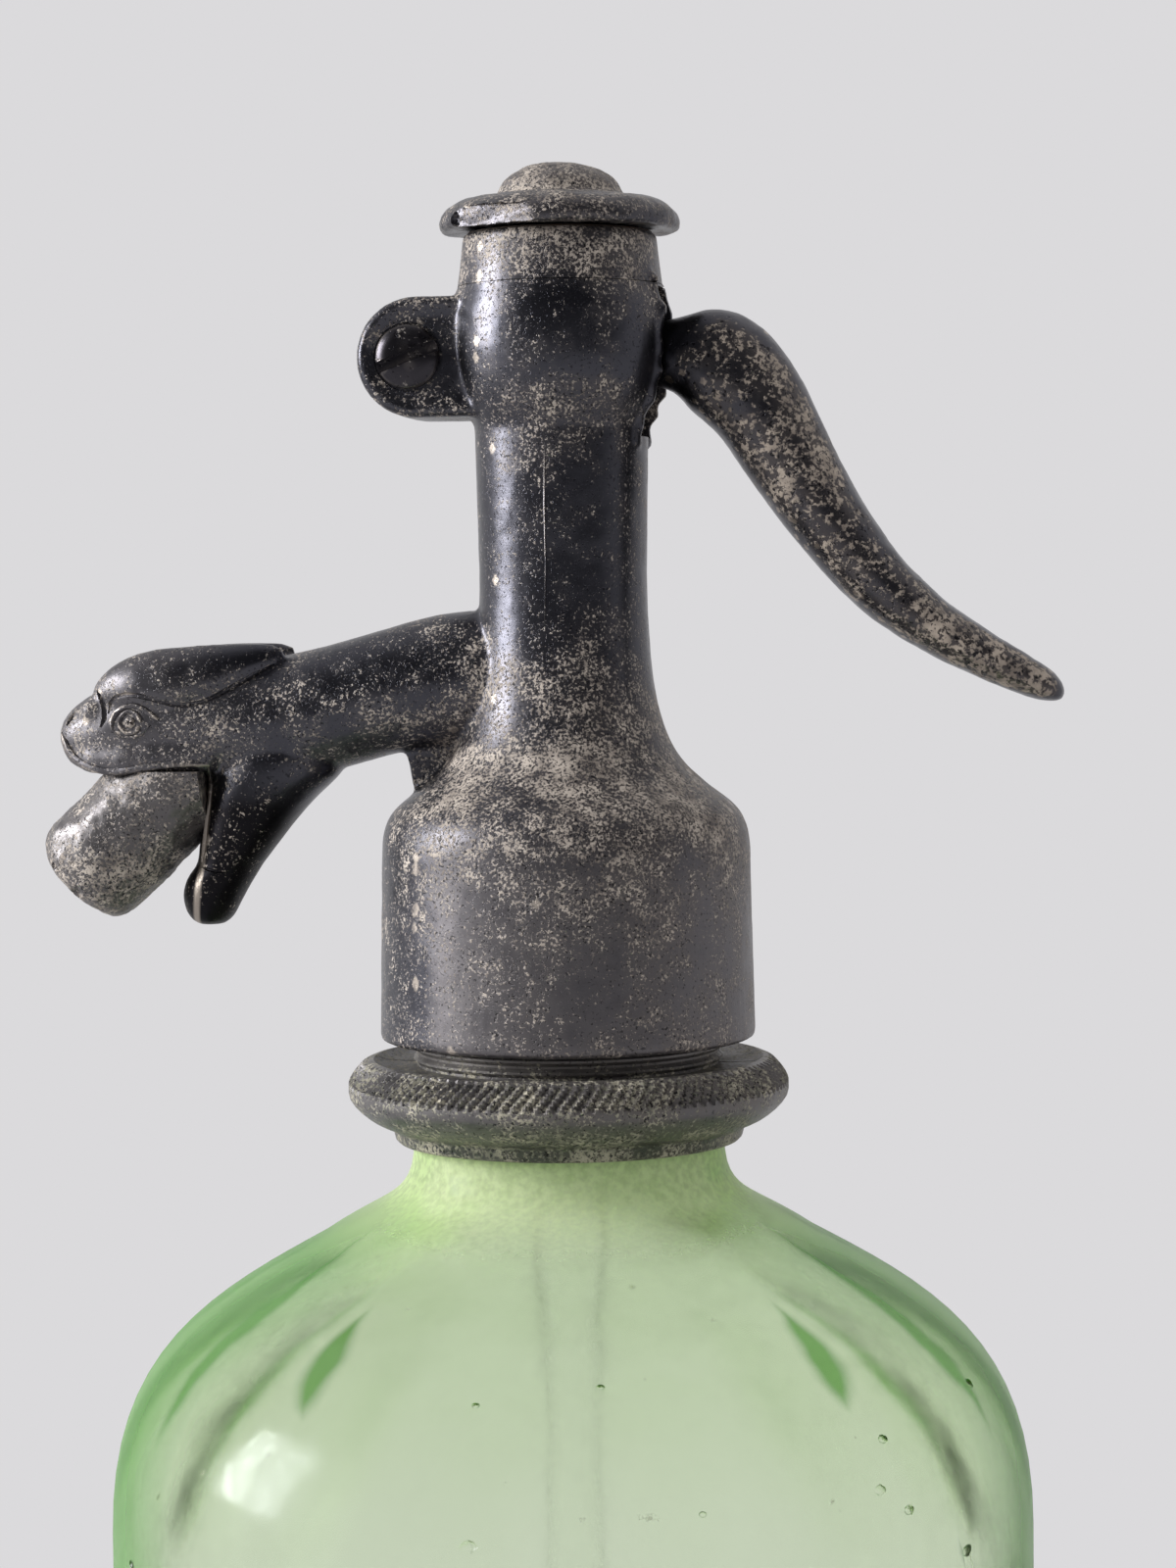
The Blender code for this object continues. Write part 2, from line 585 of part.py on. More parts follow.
def casting_profile():
    base_top = HEAD_Z + SOCKET_HEIGHT
    shoulder_top = base_top + SHOULDER_HEIGHT
    column_start = shoulder_top + SWEEP_HEIGHT
    bulge_foot = PIVOT_Z - BULGE_FOOT_DROP
    bulge_centre = PIVOT_Z + BULGE_CENTRE_LIFT
    bulge_top = PIVOT_Z + BULGE_TOP_LIFT
    step = SOCKET_TOP_RADIUS - SHOULDER_TOP_RADIUS
    sweep = SHOULDER_TOP_RADIUS - COLUMN_RADIUS
    belly = BULGE_RADIUS - COLUMN_RADIUS
    top = [
        (HEAD_TOP_RADIUS, HEAD_TOP_Z),
        (BULGE_TOP_RADIUS, bulge_top + GROOVE_DEPTH),
        (BULGE_TOP_RADIUS - GROOVE_DEPTH, bulge_top),
    ]
    upper = bezier(
        (BULGE_TOP_RADIUS, bulge_top - GROOVE_DEPTH),
        (BULGE_RADIUS, bulge_top - (bulge_top - bulge_centre) * BULGE_BELLY_SHARES[0]),
        (BULGE_RADIUS, bulge_centre + (bulge_top - bulge_centre) * BULGE_BELLY_SHARES[1]),
        (BULGE_RADIUS, bulge_centre),
        CURVE_POINTS // 2,
    )
    fall = bulge_centre - bulge_foot
    lower = bezier(
        (BULGE_RADIUS, bulge_centre),
        (BULGE_RADIUS, bulge_centre - fall * BULGE_BELLY_SHARES[1]),
        (COLUMN_RADIUS + belly * BULGE_WAIST_SHARE, bulge_foot + fall * BULGE_WAIST_SHARE / 2),
        (COLUMN_RADIUS, bulge_foot),
    )
    foot = bezier(
        (COLUMN_RADIUS, column_start),
        (COLUMN_RADIUS, column_start - SWEEP_HEIGHT * SWEEP_RISE_SHARE),
        (COLUMN_RADIUS + sweep * SWEEP_LEAN_SHARES[0], shoulder_top + SWEEP_HEIGHT * SWEEP_LEAN_SHARES[1]),
        (SHOULDER_TOP_RADIUS, shoulder_top),
    )
    shoulder = bezier(
        (SHOULDER_TOP_RADIUS, shoulder_top),
        (
            SHOULDER_TOP_RADIUS + step * SHOULDER_DIP_SHARES[0],
            shoulder_top - SHOULDER_HEIGHT * SHOULDER_DIP_SHARES[1],
        ),
        (SOCKET_TOP_RADIUS, base_top + SHOULDER_HEIGHT * SHOULDER_ROUND_SHARE),
        (SOCKET_TOP_RADIUS, base_top),
    )
    bottom = [(SOCKET_RADIUS, HEAD_Z), (0, HEAD_Z)]
    return [(0, HEAD_TOP_Z)] + top + upper + lower[1:] + foot + shoulder[1:] + bottom


def bore_profile():
    """Every step of the hole through the casting, from above the top to below the socket."""
    return [
        (0, HEAD_TOP_Z + OVERRUN),
        (SPRING_BORE_RADIUS, HEAD_TOP_Z + OVERRUN),
        (SPRING_BORE_RADIUS, NUT_TOP_Z),
        (GLAND_BORE_RADIUS, NUT_TOP_Z),
        (GLAND_BORE_RADIUS, GLAND_FLOOR_Z),
        (WATER_BORE_RADIUS, GLAND_FLOOR_Z),
        (WATER_BORE_RADIUS, CHAMBER_TOP_Z),
        (VALVE_CHAMBER_RADIUS, CHAMBER_TOP_Z),
        (VALVE_CHAMBER_RADIUS, CEILING_Z),
        (SOCKET_BORE_RADIUS, CEILING_Z),
        (SOCKET_BORE_RADIUS, HEAD_Z - OVERRUN),
        (0, HEAD_Z - OVERRUN),
    ]


# Arm and skull in one sweep: shares of the spout's reach, then level, half-height as shares of the arm's
# height, and half-width as a share of the arm's width
ARM_SHARES = (
    (0.06, 0.0, 0.45, 0.44),
    (0.185, 0.005, 0.492, 0.49),
    (0.3, -0.045, 0.462, 0.5),
    (0.41, -0.155, 0.446, 0.5),
    (0.52, -0.28, 0.455, 0.5),
    (0.62, -0.315, 0.43, 0.5),
    (0.72, -0.28, 0.43, 0.5),
    (0.81, -0.27, 0.405, 0.49),
    (0.875, -0.32, 0.35, 0.45),
    (0.925, -0.365, 0.285, 0.37),
    (0.965, -0.385, 0.2, 0.27),
    (0.99, -0.375, 0.11, 0.17),
    (1.0, -0.37, 0.05, 0.08),
)
# Jaw, from the throat down: shares of the drop, of the reach, of the jaw's width for the half-length along X
# and for the half-width
JAW_SHARES = (
    (0.2, 0.79, 0.47, 0.5),
    (0.38, 0.778, 0.535, 0.53),
    (0.5, 0.808, 0.456, 0.5),
    (0.62, 0.846, 0.345, 0.45),
    (0.73, 0.875, 0.28, 0.4),
    (0.82, 0.905, 0.265, 0.35),
    (0.9, 0.93, 0.24, 0.3),
    (0.965, 0.935, 0.17, 0.22),
    (1.0, 0.93, 0.08, 0.1),
)
# Ear, from its tip on the neck to the brow: shares of its length, of its height for the level and for the
# half-height, of its thickness
EAR_SHARES = (
    (0.0, 0.02, 0.04, 0.1),
    (0.08, -0.02, 0.13, 0.3),
    (0.24, -0.17, 0.3, 0.45),
    (0.42, -0.33, 0.42, 0.5),
    (0.62, -0.4, 0.46, 0.5),
    (0.8, -0.42, 0.4, 0.46),
    (0.92, -0.52, 0.26, 0.36),
    (1.0, -0.68, 0.08, 0.12),
)
EAR_TIP_REACH_SHARE = 0.53
EAR_TIP_LIFT_SHARE = 0.2
EYE_PLACE_SHARES = (0.861, -0.305, 0.405)
NOSTRIL_PLACE_SHARES = (0.932, -0.2, 0.24)
MOUTH_CORNER_SHARE = 0.705
CHANNEL_SHARES = ((0.0, -0.02), (0.35, -0.07), (0.6, -0.32))


def arm_point(reach_share, level_share, side=0.0):
    return (-SPOUT_REACH * reach_share, side, ARM_Z + ARM_HEIGHT * level_share)


def make_arm():
    upward = (0, 0, 1)
    stations = [
        (arm_point(reach, level), upward, ARM_HEIGHT * half, ARM_WIDTH * wide)
        for reach, level, half, wide in ARM_SHARES
    ]
    arm = loft("arm_and_skull", stations, cutters, square=0.88)
    mouth = box(
        "open_mouth",
        (-SPOUT_REACH - OVERRUN, -ARM_WIDTH, ARM_Z - JAW_DROP - OVERRUN),
        (-SPOUT_REACH * MOUTH_CORNER_SHARE, ARM_WIDTH, MOUTH_ROOF_Z),
        cutters,
    )
    cut(arm, mouth)
    jaw_stations = [
        ((-JAW_REACH * reach, 0, ARM_Z - JAW_DROP * drop), (1, 0, 0), JAW_WIDTH * half, JAW_WIDTH * wide)
        for drop, reach, half, wide in JAW_SHARES
    ]
    jaw = loft("jaw", jaw_stations, cutters, square=0.8)
    join(arm, jaw)
    end, direction = nozzle_axis()
    socket_top = end + direction * (NOZZLE_LENGTH + CLEARANCE)
    cut(arm, cylinder_along("nozzle_socket", end, socket_top, NOZZLE_SPIGOT_RADIUS + CLEARANCE, cutters))
    ear_tip = -SPOUT_REACH * EAR_TIP_REACH_SHARE
    ear_level = ARM_Z + ARM_HEIGHT * EAR_TIP_LIFT_SHARE
    for name, side in (("ear_near", -1), ("ear_far", 1)):
        ear_stations = [
            (
                (ear_tip - EAR_LENGTH * along, side * EAR_SPREAD, ear_level + EAR_HEIGHT * level),
                upward,
                EAR_HEIGHT * half,
                EAR_THICKNESS * thick,
            )
            for along, level, half, thick in EAR_SHARES
        ]
        join(arm, loft(name, ear_stations, cutters, sides=LOFT_SIDES // 2))
        for feature, shares, radius in (
            ("eye", EYE_PLACE_SHARES, EYE_RADIUS),
            ("nostril", NOSTRIL_PLACE_SHARES, NOSTRIL_RADIUS),
        ):
            place = arm_point(shares[0], shares[1], side * ARM_WIDTH * shares[2])
            join(arm, ball(f"{feature}_{name}", place, (radius, radius, radius), cutters))
    return arm


def make_web():
    """Flat rib under the arm's root, down to the shoulder."""
    shoulder_top = HEAD_Z + SOCKET_HEIGHT + SHOULDER_HEIGHT
    outline = bmesh.new()
    half = WEB_THICKNESS / 2
    corners = (
        (0, ARM_Z),
        (-WEB_REACH, ARM_Z),
        (-WEB_REACH, ARM_Z - ARM_HEIGHT / 2),
        (-WEB_FOOT_REACH, shoulder_top - SHOULDER_HEIGHT / 2),
        (0, shoulder_top - SHOULDER_HEIGHT / 2),
    )
    face = outline.faces.new([outline.verts.new((x, -half, z)) for x, z in corners])
    made = bmesh.ops.extrude_face_region(outline, geom=[face])["geom"]
    moved = [item for item in made if isinstance(item, bmesh.types.BMVert)]
    bmesh.ops.translate(outline, verts=moved, vec=(0, WEB_THICKNESS, 0))
    return object_from("web", outline, cutters, smooth=False)


def make_lug():
    half = LUG_THICKNESS / 2
    outline = arc((-LUG_REACH, PIVOT_Z), LUG_RADIUS, 90, 270, CURVE_POINTS * 2) + [
        (0, PIVOT_Z - LUG_RADIUS),
        (0, PIVOT_Z + LUG_RADIUS),
    ]
    shape = bmesh.new()
    face = shape.faces.new([shape.verts.new((x, -half, z)) for x, z in outline])
    made = bmesh.ops.extrude_face_region(shape, geom=[face])["geom"]
    moved = [item for item in made if isinstance(item, bmesh.types.BMVert)]
    bmesh.ops.translate(shape, verts=moved, vec=(0, LUG_THICKNESS, 0))
    lug = object_from("lug", shape, cutters)
    rounding = lug.modifiers.new("edges", "BEVEL")
    rounding.width = LUG_EDGE_RADIUS
    rounding.segments = 2
    rounding.limit_method = "ANGLE"
    rounding.angle_limit = math.radians(60)
    return lug


def nozzle_axis():
    """Middle of the nozzle's open end, and the direction from there up into the mouth."""
    end = Vector((-NOZZLE_END_REACH, 0, MOUTH_ROOF_Z - NOZZLE_HANG))
    return end, Vector((1, 0, 1)).normalized()


def make_channel():
    """Water way from the column's bore along the arm and down to the nozzle."""
    end, direction = nozzle_axis()
    points = [Vector(arm_point(reach, level)) for reach, level in CHANNEL_SHARES]
    points.append(end + direction * NOZZLE_LENGTH)
    curve = bpy.data.curves.new("channel", "CURVE")
    curve.dimensions = "3D"
    curve.bevel_depth = CHANNEL_RADIUS
    curve.bevel_resolution = 2
    curve.use_fill_caps = True
    spline = curve.splines.new("POLY")
    spline.points.add(len(points) - 1)
    for point, place in zip(spline.points, points):
        point.co = (*place, 1)
    return mesh_from_curve("water_channel", curve, cutters)


def mesh_from_curve(name, curve, collection, material=None):
    """A curve made a closed mesh, with its caps welded."""
    drawn = bpy.data.objects.new(name + "_curve", curve)
    bpy.context.scene.collection.objects.link(drawn)
    graph = bpy.context.evaluated_depsgraph_get()
    mesh = bpy.data.meshes.new_from_object(drawn.evaluated_get(graph))
    shape = bmesh.new()
    shape.from_mesh(mesh)
    bmesh.ops.remove_doubles(shape, verts=shape.verts, dist=MERGE)
    bpy.data.meshes.remove(mesh)
    bpy.data.objects.remove(drawn, do_unlink=True)
    return object_from(name, shape, collection, material)


def make_head():
    head = turned("head_casting", casting_profile(), parts, pewter, HEAD_STEPS, closed=False)
    join(head, make_arm())
    join(head, make_web())
    join(head, make_lug())
    slot_end = PIVOT_REACH + PIVOT_EYE_RADIUS + CLEARANCE
    slot_half = FRONT_SLOT_HEIGHT / 2
    cut(
        head,
        box(
            "front_slot",
            (-slot_end, -FRONT_SLOT_WIDTH / 2, PIVOT_Z - slot_half),
            (-STEM_RADIUS, FRONT_SLOT_WIDTH / 2, PIVOT_Z + slot_half),
            cutters,
        ),
    )
    cut(
        head,
        box(
            "front_slot_foot",
            (-PIVOT_REACH, -FRONT_SLOT_WIDTH / 2, PIVOT_Z - FRONT_SLOT_DROP),
            (-STEM_RADIUS, FRONT_SLOT_WIDTH / 2, PIVOT_Z),
            cutters,
        ),
    )
    cut(
        head,
        box(
            "rear_slot",
            (STEM_RADIUS, -REAR_SLOT_WIDTH / 2, PIVOT_Z - REAR_SLOT_DROP),
            (BULGE_RADIUS + OVERRUN, REAR_SLOT_WIDTH / 2, PIVOT_Z + REAR_SLOT_RISE),
            cutters,
        ),
    )
    cut(head, turned("column_bore", bore_profile(), cutters, steps=HEAD_STEPS, closed=False))
    cut(head, make_channel())
    lug_face = -LUG_THICKNESS / 2
    cut(
        head,
        cylinder_along(
            "screw_hole",
            (-PIVOT_REACH, lug_face - OVERRUN, PIVOT_Z),
            (-PIVOT_REACH, -lug_face + OVERRUN, PIVOT_Z),
            SCREW_SHANK_RADIUS + CLEARANCE,
            cutters,
        ),
    )
    cut(
        head,
        cylinder_along(
            "screw_recess",
            (-PIVOT_REACH, lug_face - OVERRUN, PIVOT_Z),
            (-PIVOT_REACH, lug_face + SCREW_RECESS_DEPTH, PIVOT_Z),
            SCREW_HEAD_RADIUS + CLEARANCE,
            cutters,
        ),
    )


def make_nozzle():
    """Tube at 45 degrees whose top is cut to the roof of the mouth and the front of the jaw."""
    end, direction = nozzle_axis()
    top = end + direction * NOZZLE_LENGTH
    lip_centre = (NOZZLE_RADIUS - NOZZLE_LIP_RADIUS, NOZZLE_LIP_RADIUS)
    lip = arc(lip_centre, NOZZLE_LIP_RADIUS, 0, -90, CURVE_POINTS // 3)
    profile = [(0, NOZZLE_LENGTH), (NOZZLE_RADIUS, NOZZLE_LENGTH), *lip, (0, 0)]
    body = turned("spout_nozzle", profile, parts, pewter, HEAD_STEPS // 2, closed=False)
    body.matrix_world = Matrix.Translation(end) @ direction.to_track_quat("Z", "Y").to_matrix().to_4x4()
    roof = MOUTH_ROOF_Z - CLEARANCE
    reach = SPOUT_REACH + OVERRUN
    cut(body, box("above_roof", (-reach, -ARM_WIDTH, roof), (0, ARM_WIDTH, roof + ARM_HEIGHT), cutters))
    back = (-NOZZLE_BACK_REACH, -ARM_WIDTH, roof - JAW_DROP)
    cut(body, box("behind_corner", back, (0, ARM_WIDTH, roof + ARM_HEIGHT), cutters))
    spigot_end = end + direction * NOZZLE_LENGTH
    join(
        body,
        cylinder_along(
            "nozzle_spigot",
            spigot_end - direction * (NOZZLE_SPIGOT_LENGTH + NOZZLE_RADIUS),
            spigot_end,
            NOZZLE_SPIGOT_RADIUS,
            cutters,
        ),
    )
    cut(
        body,
        cylinder_along(
            "nozzle_bore",
            end - direction * OVERRUN,
            top + direction * OVERRUN,
            NOZZLE_BORE_RADIUS,
            cutters,
        ),
    )


# Crown and side of the dome and of the brim: shares of their radius, height and thickness
DOME_CROWN_SHARE = 0.55
DOME_SIDE_SHARES = (0.85, 0.45)
BRIM_CROWN_SHARE = 0.72
BRIM_SIDE_SHARE = 0.8


def make_cap():
    washer_bottom = HEAD_TOP_Z + CLEARANCE
    washer_top = washer_bottom + CAP_WASHER_THICKNESS
    plug_radius = SPRING_BORE_RADIUS - CLEARANCE
    inner, outer = SPRING_BORE_RADIUS, HEAD_TOP_RADIUS
    washer("cap_washer", washer_bottom, washer_top, inner, outer, parts, leather, HEAD_STEPS)
    brim_bottom = washer_top + CLEARANCE
    brim_top = brim_bottom + BRIM_THICKNESS
    dome = bezier(
        (0, brim_top + DOME_HEIGHT),
        (DOME_RADIUS * DOME_CROWN_SHARE, brim_top + DOME_HEIGHT),
        (DOME_RADIUS * DOME_SIDE_SHARES[0], brim_top + DOME_HEIGHT * DOME_SIDE_SHARES[1]),
        (DOME_RADIUS, brim_top),
    )
    edge_centre = (BRIM_RADIUS - BRIM_EDGE_RADIUS, brim_bottom - BRIM_DROOP + BRIM_EDGE_RADIUS)
    brim = bezier(
        (DOME_RADIUS, brim_top),
        (DOME_RADIUS + (BRIM_RADIUS - DOME_RADIUS) * BRIM_CROWN_SHARE, brim_top),
        (BRIM_RADIUS, brim_bottom + BRIM_THICKNESS * BRIM_SIDE_SHARE),
        (BRIM_RADIUS, edge_centre[1]),
    )
    edge = arc(edge_centre, BRIM_EDGE_RADIUS, 0, -90, CURVE_POINTS // 2)
    profile = dome + brim[1:] + edge[1:] + [
        (HEAD_TOP_RADIUS, brim_bottom),
        (plug_radius, brim_bottom),
        (plug_radius, HEAD_TOP_Z - PLUG_LENGTH),
        (0, HEAD_TOP_Z - PLUG_LENGTH),
    ]
    turned("top_cap", profile, parts, pewter, HEAD_STEPS, closed=False)


# Handle from inside the rear slot to the tip: shares of its length past the bulge, of the drop below the
# pivot, of the thickness for the half-height, of the width for the half-width; and the section's lean in degrees
HANDLE_SHARES = (
    (-0.151, 0.0, 0.17, 0.2, 0),
    (-0.062, 0.0, 0.24, 0.22, 0),
    (-0.017, -0.003, 0.305, 0.25, 2),
    (0.028, -0.003, 0.34, 0.31, 6),
    (0.075, 0.003, 0.46, 0.39, 14),
    (0.128, 0.022, 0.512, 0.45, 30),
    (0.181, 0.075, 0.49, 0.48, 44),
    (0.239, 0.155, 0.45, 0.5, 56),
    (0.299, 0.29, 0.41, 0.5, 64),
    (0.363, 0.41, 0.375, 0.5, 62),
    (0.439, 0.535, 0.335, 0.48, 57),
    (0.541, 0.675, 0.298, 0.46, 48),
    (0.657, 0.78, 0.25, 0.43, 38),
    (0.8, 0.872, 0.21, 0.39, 27),
    (0.91, 0.934, 0.175, 0.34, 24),
    (0.968, 0.965, 0.14, 0.27, 24),
    (1.0, 0.99, 0.05, 0.1, 24),
)


def make_lever():
    """Built about its pivot, which is the lever's own origin."""
    pivot = bpy.data.objects.new("lever_pivot", None)
    parts.objects.link(pivot)
    pivot.location = (-PIVOT_REACH, 0, PIVOT_Z)
    stations = []
    for reach, drop, half, wide, lean in HANDLE_SHARES:
        tilt = math.radians(lean)
        centre = (PIVOT_REACH + BULGE_RADIUS + HANDLE_LENGTH * reach, 0, -HANDLE_DROP * drop)
        stations.append(
            (centre, (math.sin(tilt), 0, math.cos(tilt)), HANDLE_THICKNESS * half, HANDLE_WIDTH * wide)
        )
    lever = parented(loft("lever", stations, parts, pewter), pivot)
    half = BLADE_THICKNESS / 2
    handle_root = PIVOT_REACH + BULGE_RADIUS + HANDLE_LENGTH * HANDLE_SHARES[1][0]
    blade = box("lever_blade", (0, -half, -BLADE_HEIGHT / 2), (handle_root, half, BLADE_HEIGHT / 2), cutters)
    eye = cylinder_along("lever_eye", (0, -half, 0), (0, half, 0), PIVOT_EYE_RADIUS, cutters)
    knuckle = cylinder_along(
        "lever_knuckle", (PIVOT_REACH, -half, 0), (PIVOT_REACH, half, 0), KNUCKLE_RADIUS, cutters
    )
    hole = cylinder_along(
        "lever_hole", (0, -half - OVERRUN, 0), (0, half + OVERRUN, 0), SCREW_SHANK_RADIUS + CLEARANCE, cutters
    )
    for piece in (blade, eye, knuckle):
        join(lever, parented(piece, pivot))
    cut(lever, parented(hole, pivot))


def make_pivot_screw():
    under_head = -LUG_THICKNESS / 2 + SCREW_RECESS_DEPTH - CLEARANCE
    top = under_head - SCREW_HEAD_HEIGHT
    edge = SCREW_HEAD_RADIUS - SCREW_HEAD_HEIGHT / 2
    profile = bezier(
        (0, 0),
        (edge, 0),
        (SCREW_HEAD_RADIUS, -SCREW_HEAD_HEIGHT / 3),
        (SCREW_HEAD_RADIUS, -SCREW_HEAD_HEIGHT),
    )
    shank_end = -SCREW_HEAD_HEIGHT - (LUG_THICKNESS - SCREW_RECESS_DEPTH)
    profile += [(SCREW_SHANK_RADIUS, -SCREW_HEAD_HEIGHT), (SCREW_SHANK_RADIUS, shank_end), (0, shank_end)]
    screw = turned("pivot_screw", profile, parts, screw_steel, closed=False)
    slot = box(
        "screwdriver_slot",
        (-SCREW_HEAD_RADIUS - OVERRUN, -SCREW_SLOT_WIDTH / 2, -SCREW_SLOT_DEPTH),
        (SCREW_HEAD_RADIUS + OVERRUN, SCREW_SLOT_WIDTH / 2, OVERRUN),
        cutters,
    )
    facing = Matrix.Rotation(math.radians(90), 4, "X") @ Matrix.Rotation(SCREW_SLOT_TURN, 4, "Z")
    for piece in (screw, slot):
        piece.matrix_world = Matrix.Translation((-PIVOT_REACH, top, PIVOT_Z)) @ facing
    cut(screw, slot)


def make_yoke():
    """Round block on the stem's top, with a window that the lever's blade passes through."""
    radius = SPRING_BORE_RADIUS - CLEARANCE
    top = PIVOT_Z + YOKE_TOP_LIFT
    yoke = rod("stem_yoke", YOKE_BOTTOM_Z, top, radius, parts, brass)
    half_width = BLADE_THICKNESS / 2 + CLEARANCE
    half_height = KNUCKLE_RADIUS + CLEARANCE
    window = box(
        "yoke_window",
        (-radius - OVERRUN, -half_width, PIVOT_Z - half_height),
        (radius + OVERRUN, half_width, PIVOT_Z + half_height),
        cutters,
    )
    cut(yoke, window)
    socket_top = YOKE_BOTTOM_Z + YOKE_SOCKET_DEPTH + CLEARANCE
    cut(yoke, rod("stem_socket", YOKE_BOTTOM_Z - OVERRUN, socket_top, STEM_RADIUS + CLEARANCE, cutters))
    return yoke


def make_spring():
    points = []
    steps_per_turn = 10
    steps = int(SPRING_TURNS * steps_per_turn)
    low, high = SPRING_Z + SPRING_WIRE_RADIUS, SPRING_TOP_Z - SPRING_WIRE_RADIUS
    for i in range(steps + 1):
        angle = math.tau * i / steps_per_turn
        points.append(
            (SPRING_RADIUS * math.cos(angle), SPRING_RADIUS * math.sin(angle), low + (high - low) * i / steps)
        )
    curve = bpy.data.curves.new("return_spring", "CURVE")
    curve.dimensions = "3D"
    curve.bevel_depth = SPRING_WIRE_RADIUS
    curve.bevel_resolution = 1
    curve.use_fill_caps = True
    spline = curve.splines.new("POLY")
    spline.points.add(len(points) - 1)
    for point, place in zip(spline.points, points):
        point.co = (*place, 1)
    return mesh_from_curve("return_spring", curve, parts, spring_steel)


def make_stem():
    hole = STEM_RADIUS + CLEARANCE
    flange_z = SEAT_Z
    profile = [
        (0, YOKE_BOTTOM_Z + YOKE_SOCKET_DEPTH),
        (STEM_RADIUS, YOKE_BOTTOM_Z + YOKE_SOCKET_DEPTH),
        (STEM_RADIUS, flange_z + STEM_FLANGE_HEIGHT),
        (STEM_FLANGE_RADIUS, flange_z + STEM_FLANGE_HEIGHT),
        (STEM_FLANGE_RADIUS, flange_z),
        (STEM_RADIUS, flange_z),
        (STEM_RADIUS, VALVE_NUT_Z),
        (0, VALVE_NUT_Z),
    ]
    stem = turned("valve_stem", profile, parts, brass, closed=False)
    cup = washer(
        "spring_cup", CUP_Z, CUP_Z + SPRING_CUP_THICKNESS, hole, SPRING_BORE_RADIUS - CLEARANCE, parts, brass
    )
    seal = washer("valve_seal", SEAL_Z, SEAL_Z + SEAL_THICKNESS, hole, SEAL_RADIUS, parts, rubber)
    backing_top = SEAL_WASHER_Z + SEAL_WASHER_THICKNESS
    backing = washer("seal_washer", SEAL_WASHER_Z, backing_top, hole, SEAL_WASHER_RADIUS, parts, brass)
    nut_top = VALVE_NUT_Z + VALVE_NUT_HEIGHT
    nut = washer("valve_nut", VALVE_NUT_Z, nut_top, hole, VALVE_NUT_RADIUS, parts, brass, NUT_SIDES)
    slide = bpy.data.objects.new("stem_slide", None)
    parts.objects.link(slide)
    for piece in (stem, cup, seal, backing, nut, make_yoke(), make_spring()):
        parented(piece, slide)


def make_gland_and_seat():
    hole = STEM_RADIUS + CLEARANCE
    outer = GLAND_BORE_RADIUS - CLEARANCE
    nut = washer("packing_nut", NUT_Z, NUT_TOP_Z, hole, outer, parts, brass)
    slot = box(
        "packing_nut_slot",
        (-outer - OVERRUN, -PACKING_NUT_SLOT_WIDTH / 2, NUT_TOP_Z - PACKING_NUT_SLOT_DEPTH),
        (outer + OVERRUN, PACKING_NUT_SLOT_WIDTH / 2, NUT_TOP_Z + OVERRUN),
        cutters,
    )
    cut(nut, slot)
    washer("stem_packing", PACKING_Z, PACKING_Z + PACKING_HEIGHT, hole, outer, parts, leather)
    washer_top = PACKING_WASHER_Z + PACKING_WASHER_THICKNESS
    washer("packing_washer", PACKING_WASHER_Z, washer_top, hole, outer, parts, brass)
    seat_radius = VALVE_CHAMBER_RADIUS - CLEARANCE
    washer("valve_seat", SEAT_Z, SEAT_Z + SEAT_THICKNESS, SEAT_HOLE_RADIUS, seat_radius, parts, brass)
    gasket_top = GASKET_Z + SEAT_GASKET_THICKNESS
    washer("seat_gasket", GASKET_Z, gasket_top, SEAT_HOLE_RADIUS, seat_radius, parts, leather)


make_bottle()
make_dip_tube()
make_collar()
make_head()
make_nozzle()
make_cap()
make_lever()
make_pivot_screw()
make_stem()
make_gland_and_seat()
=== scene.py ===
"""Soda siphon: its looks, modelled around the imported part.

Everything is in metres in the part's own frame: +Z is up, +X points to the lever's handle, -X to the spout,
and the bottle's flat base lies on z = 0. The sections follow the order in which a siphon is put together.
"""

import json
import math
import random

import bmesh
import bpy
from mathutils import Matrix, Vector


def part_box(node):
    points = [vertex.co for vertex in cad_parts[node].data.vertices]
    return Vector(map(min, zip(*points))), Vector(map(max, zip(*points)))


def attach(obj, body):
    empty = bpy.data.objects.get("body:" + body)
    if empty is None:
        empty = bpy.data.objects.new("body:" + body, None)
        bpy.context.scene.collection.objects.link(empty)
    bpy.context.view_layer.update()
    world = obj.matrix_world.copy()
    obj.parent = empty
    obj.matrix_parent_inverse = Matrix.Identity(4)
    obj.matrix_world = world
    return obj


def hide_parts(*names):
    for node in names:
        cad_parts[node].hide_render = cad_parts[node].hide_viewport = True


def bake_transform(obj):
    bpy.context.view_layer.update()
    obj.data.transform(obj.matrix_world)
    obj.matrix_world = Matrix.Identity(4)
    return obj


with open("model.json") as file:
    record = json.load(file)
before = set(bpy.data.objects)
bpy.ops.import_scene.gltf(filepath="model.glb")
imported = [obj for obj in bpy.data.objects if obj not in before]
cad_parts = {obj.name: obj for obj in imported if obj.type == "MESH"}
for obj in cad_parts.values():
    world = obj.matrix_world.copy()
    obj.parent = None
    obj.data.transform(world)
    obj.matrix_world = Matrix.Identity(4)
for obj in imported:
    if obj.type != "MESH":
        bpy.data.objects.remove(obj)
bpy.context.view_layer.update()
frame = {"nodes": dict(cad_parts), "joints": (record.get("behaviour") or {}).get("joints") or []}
nodes = frame["nodes"]
MM = 0.001

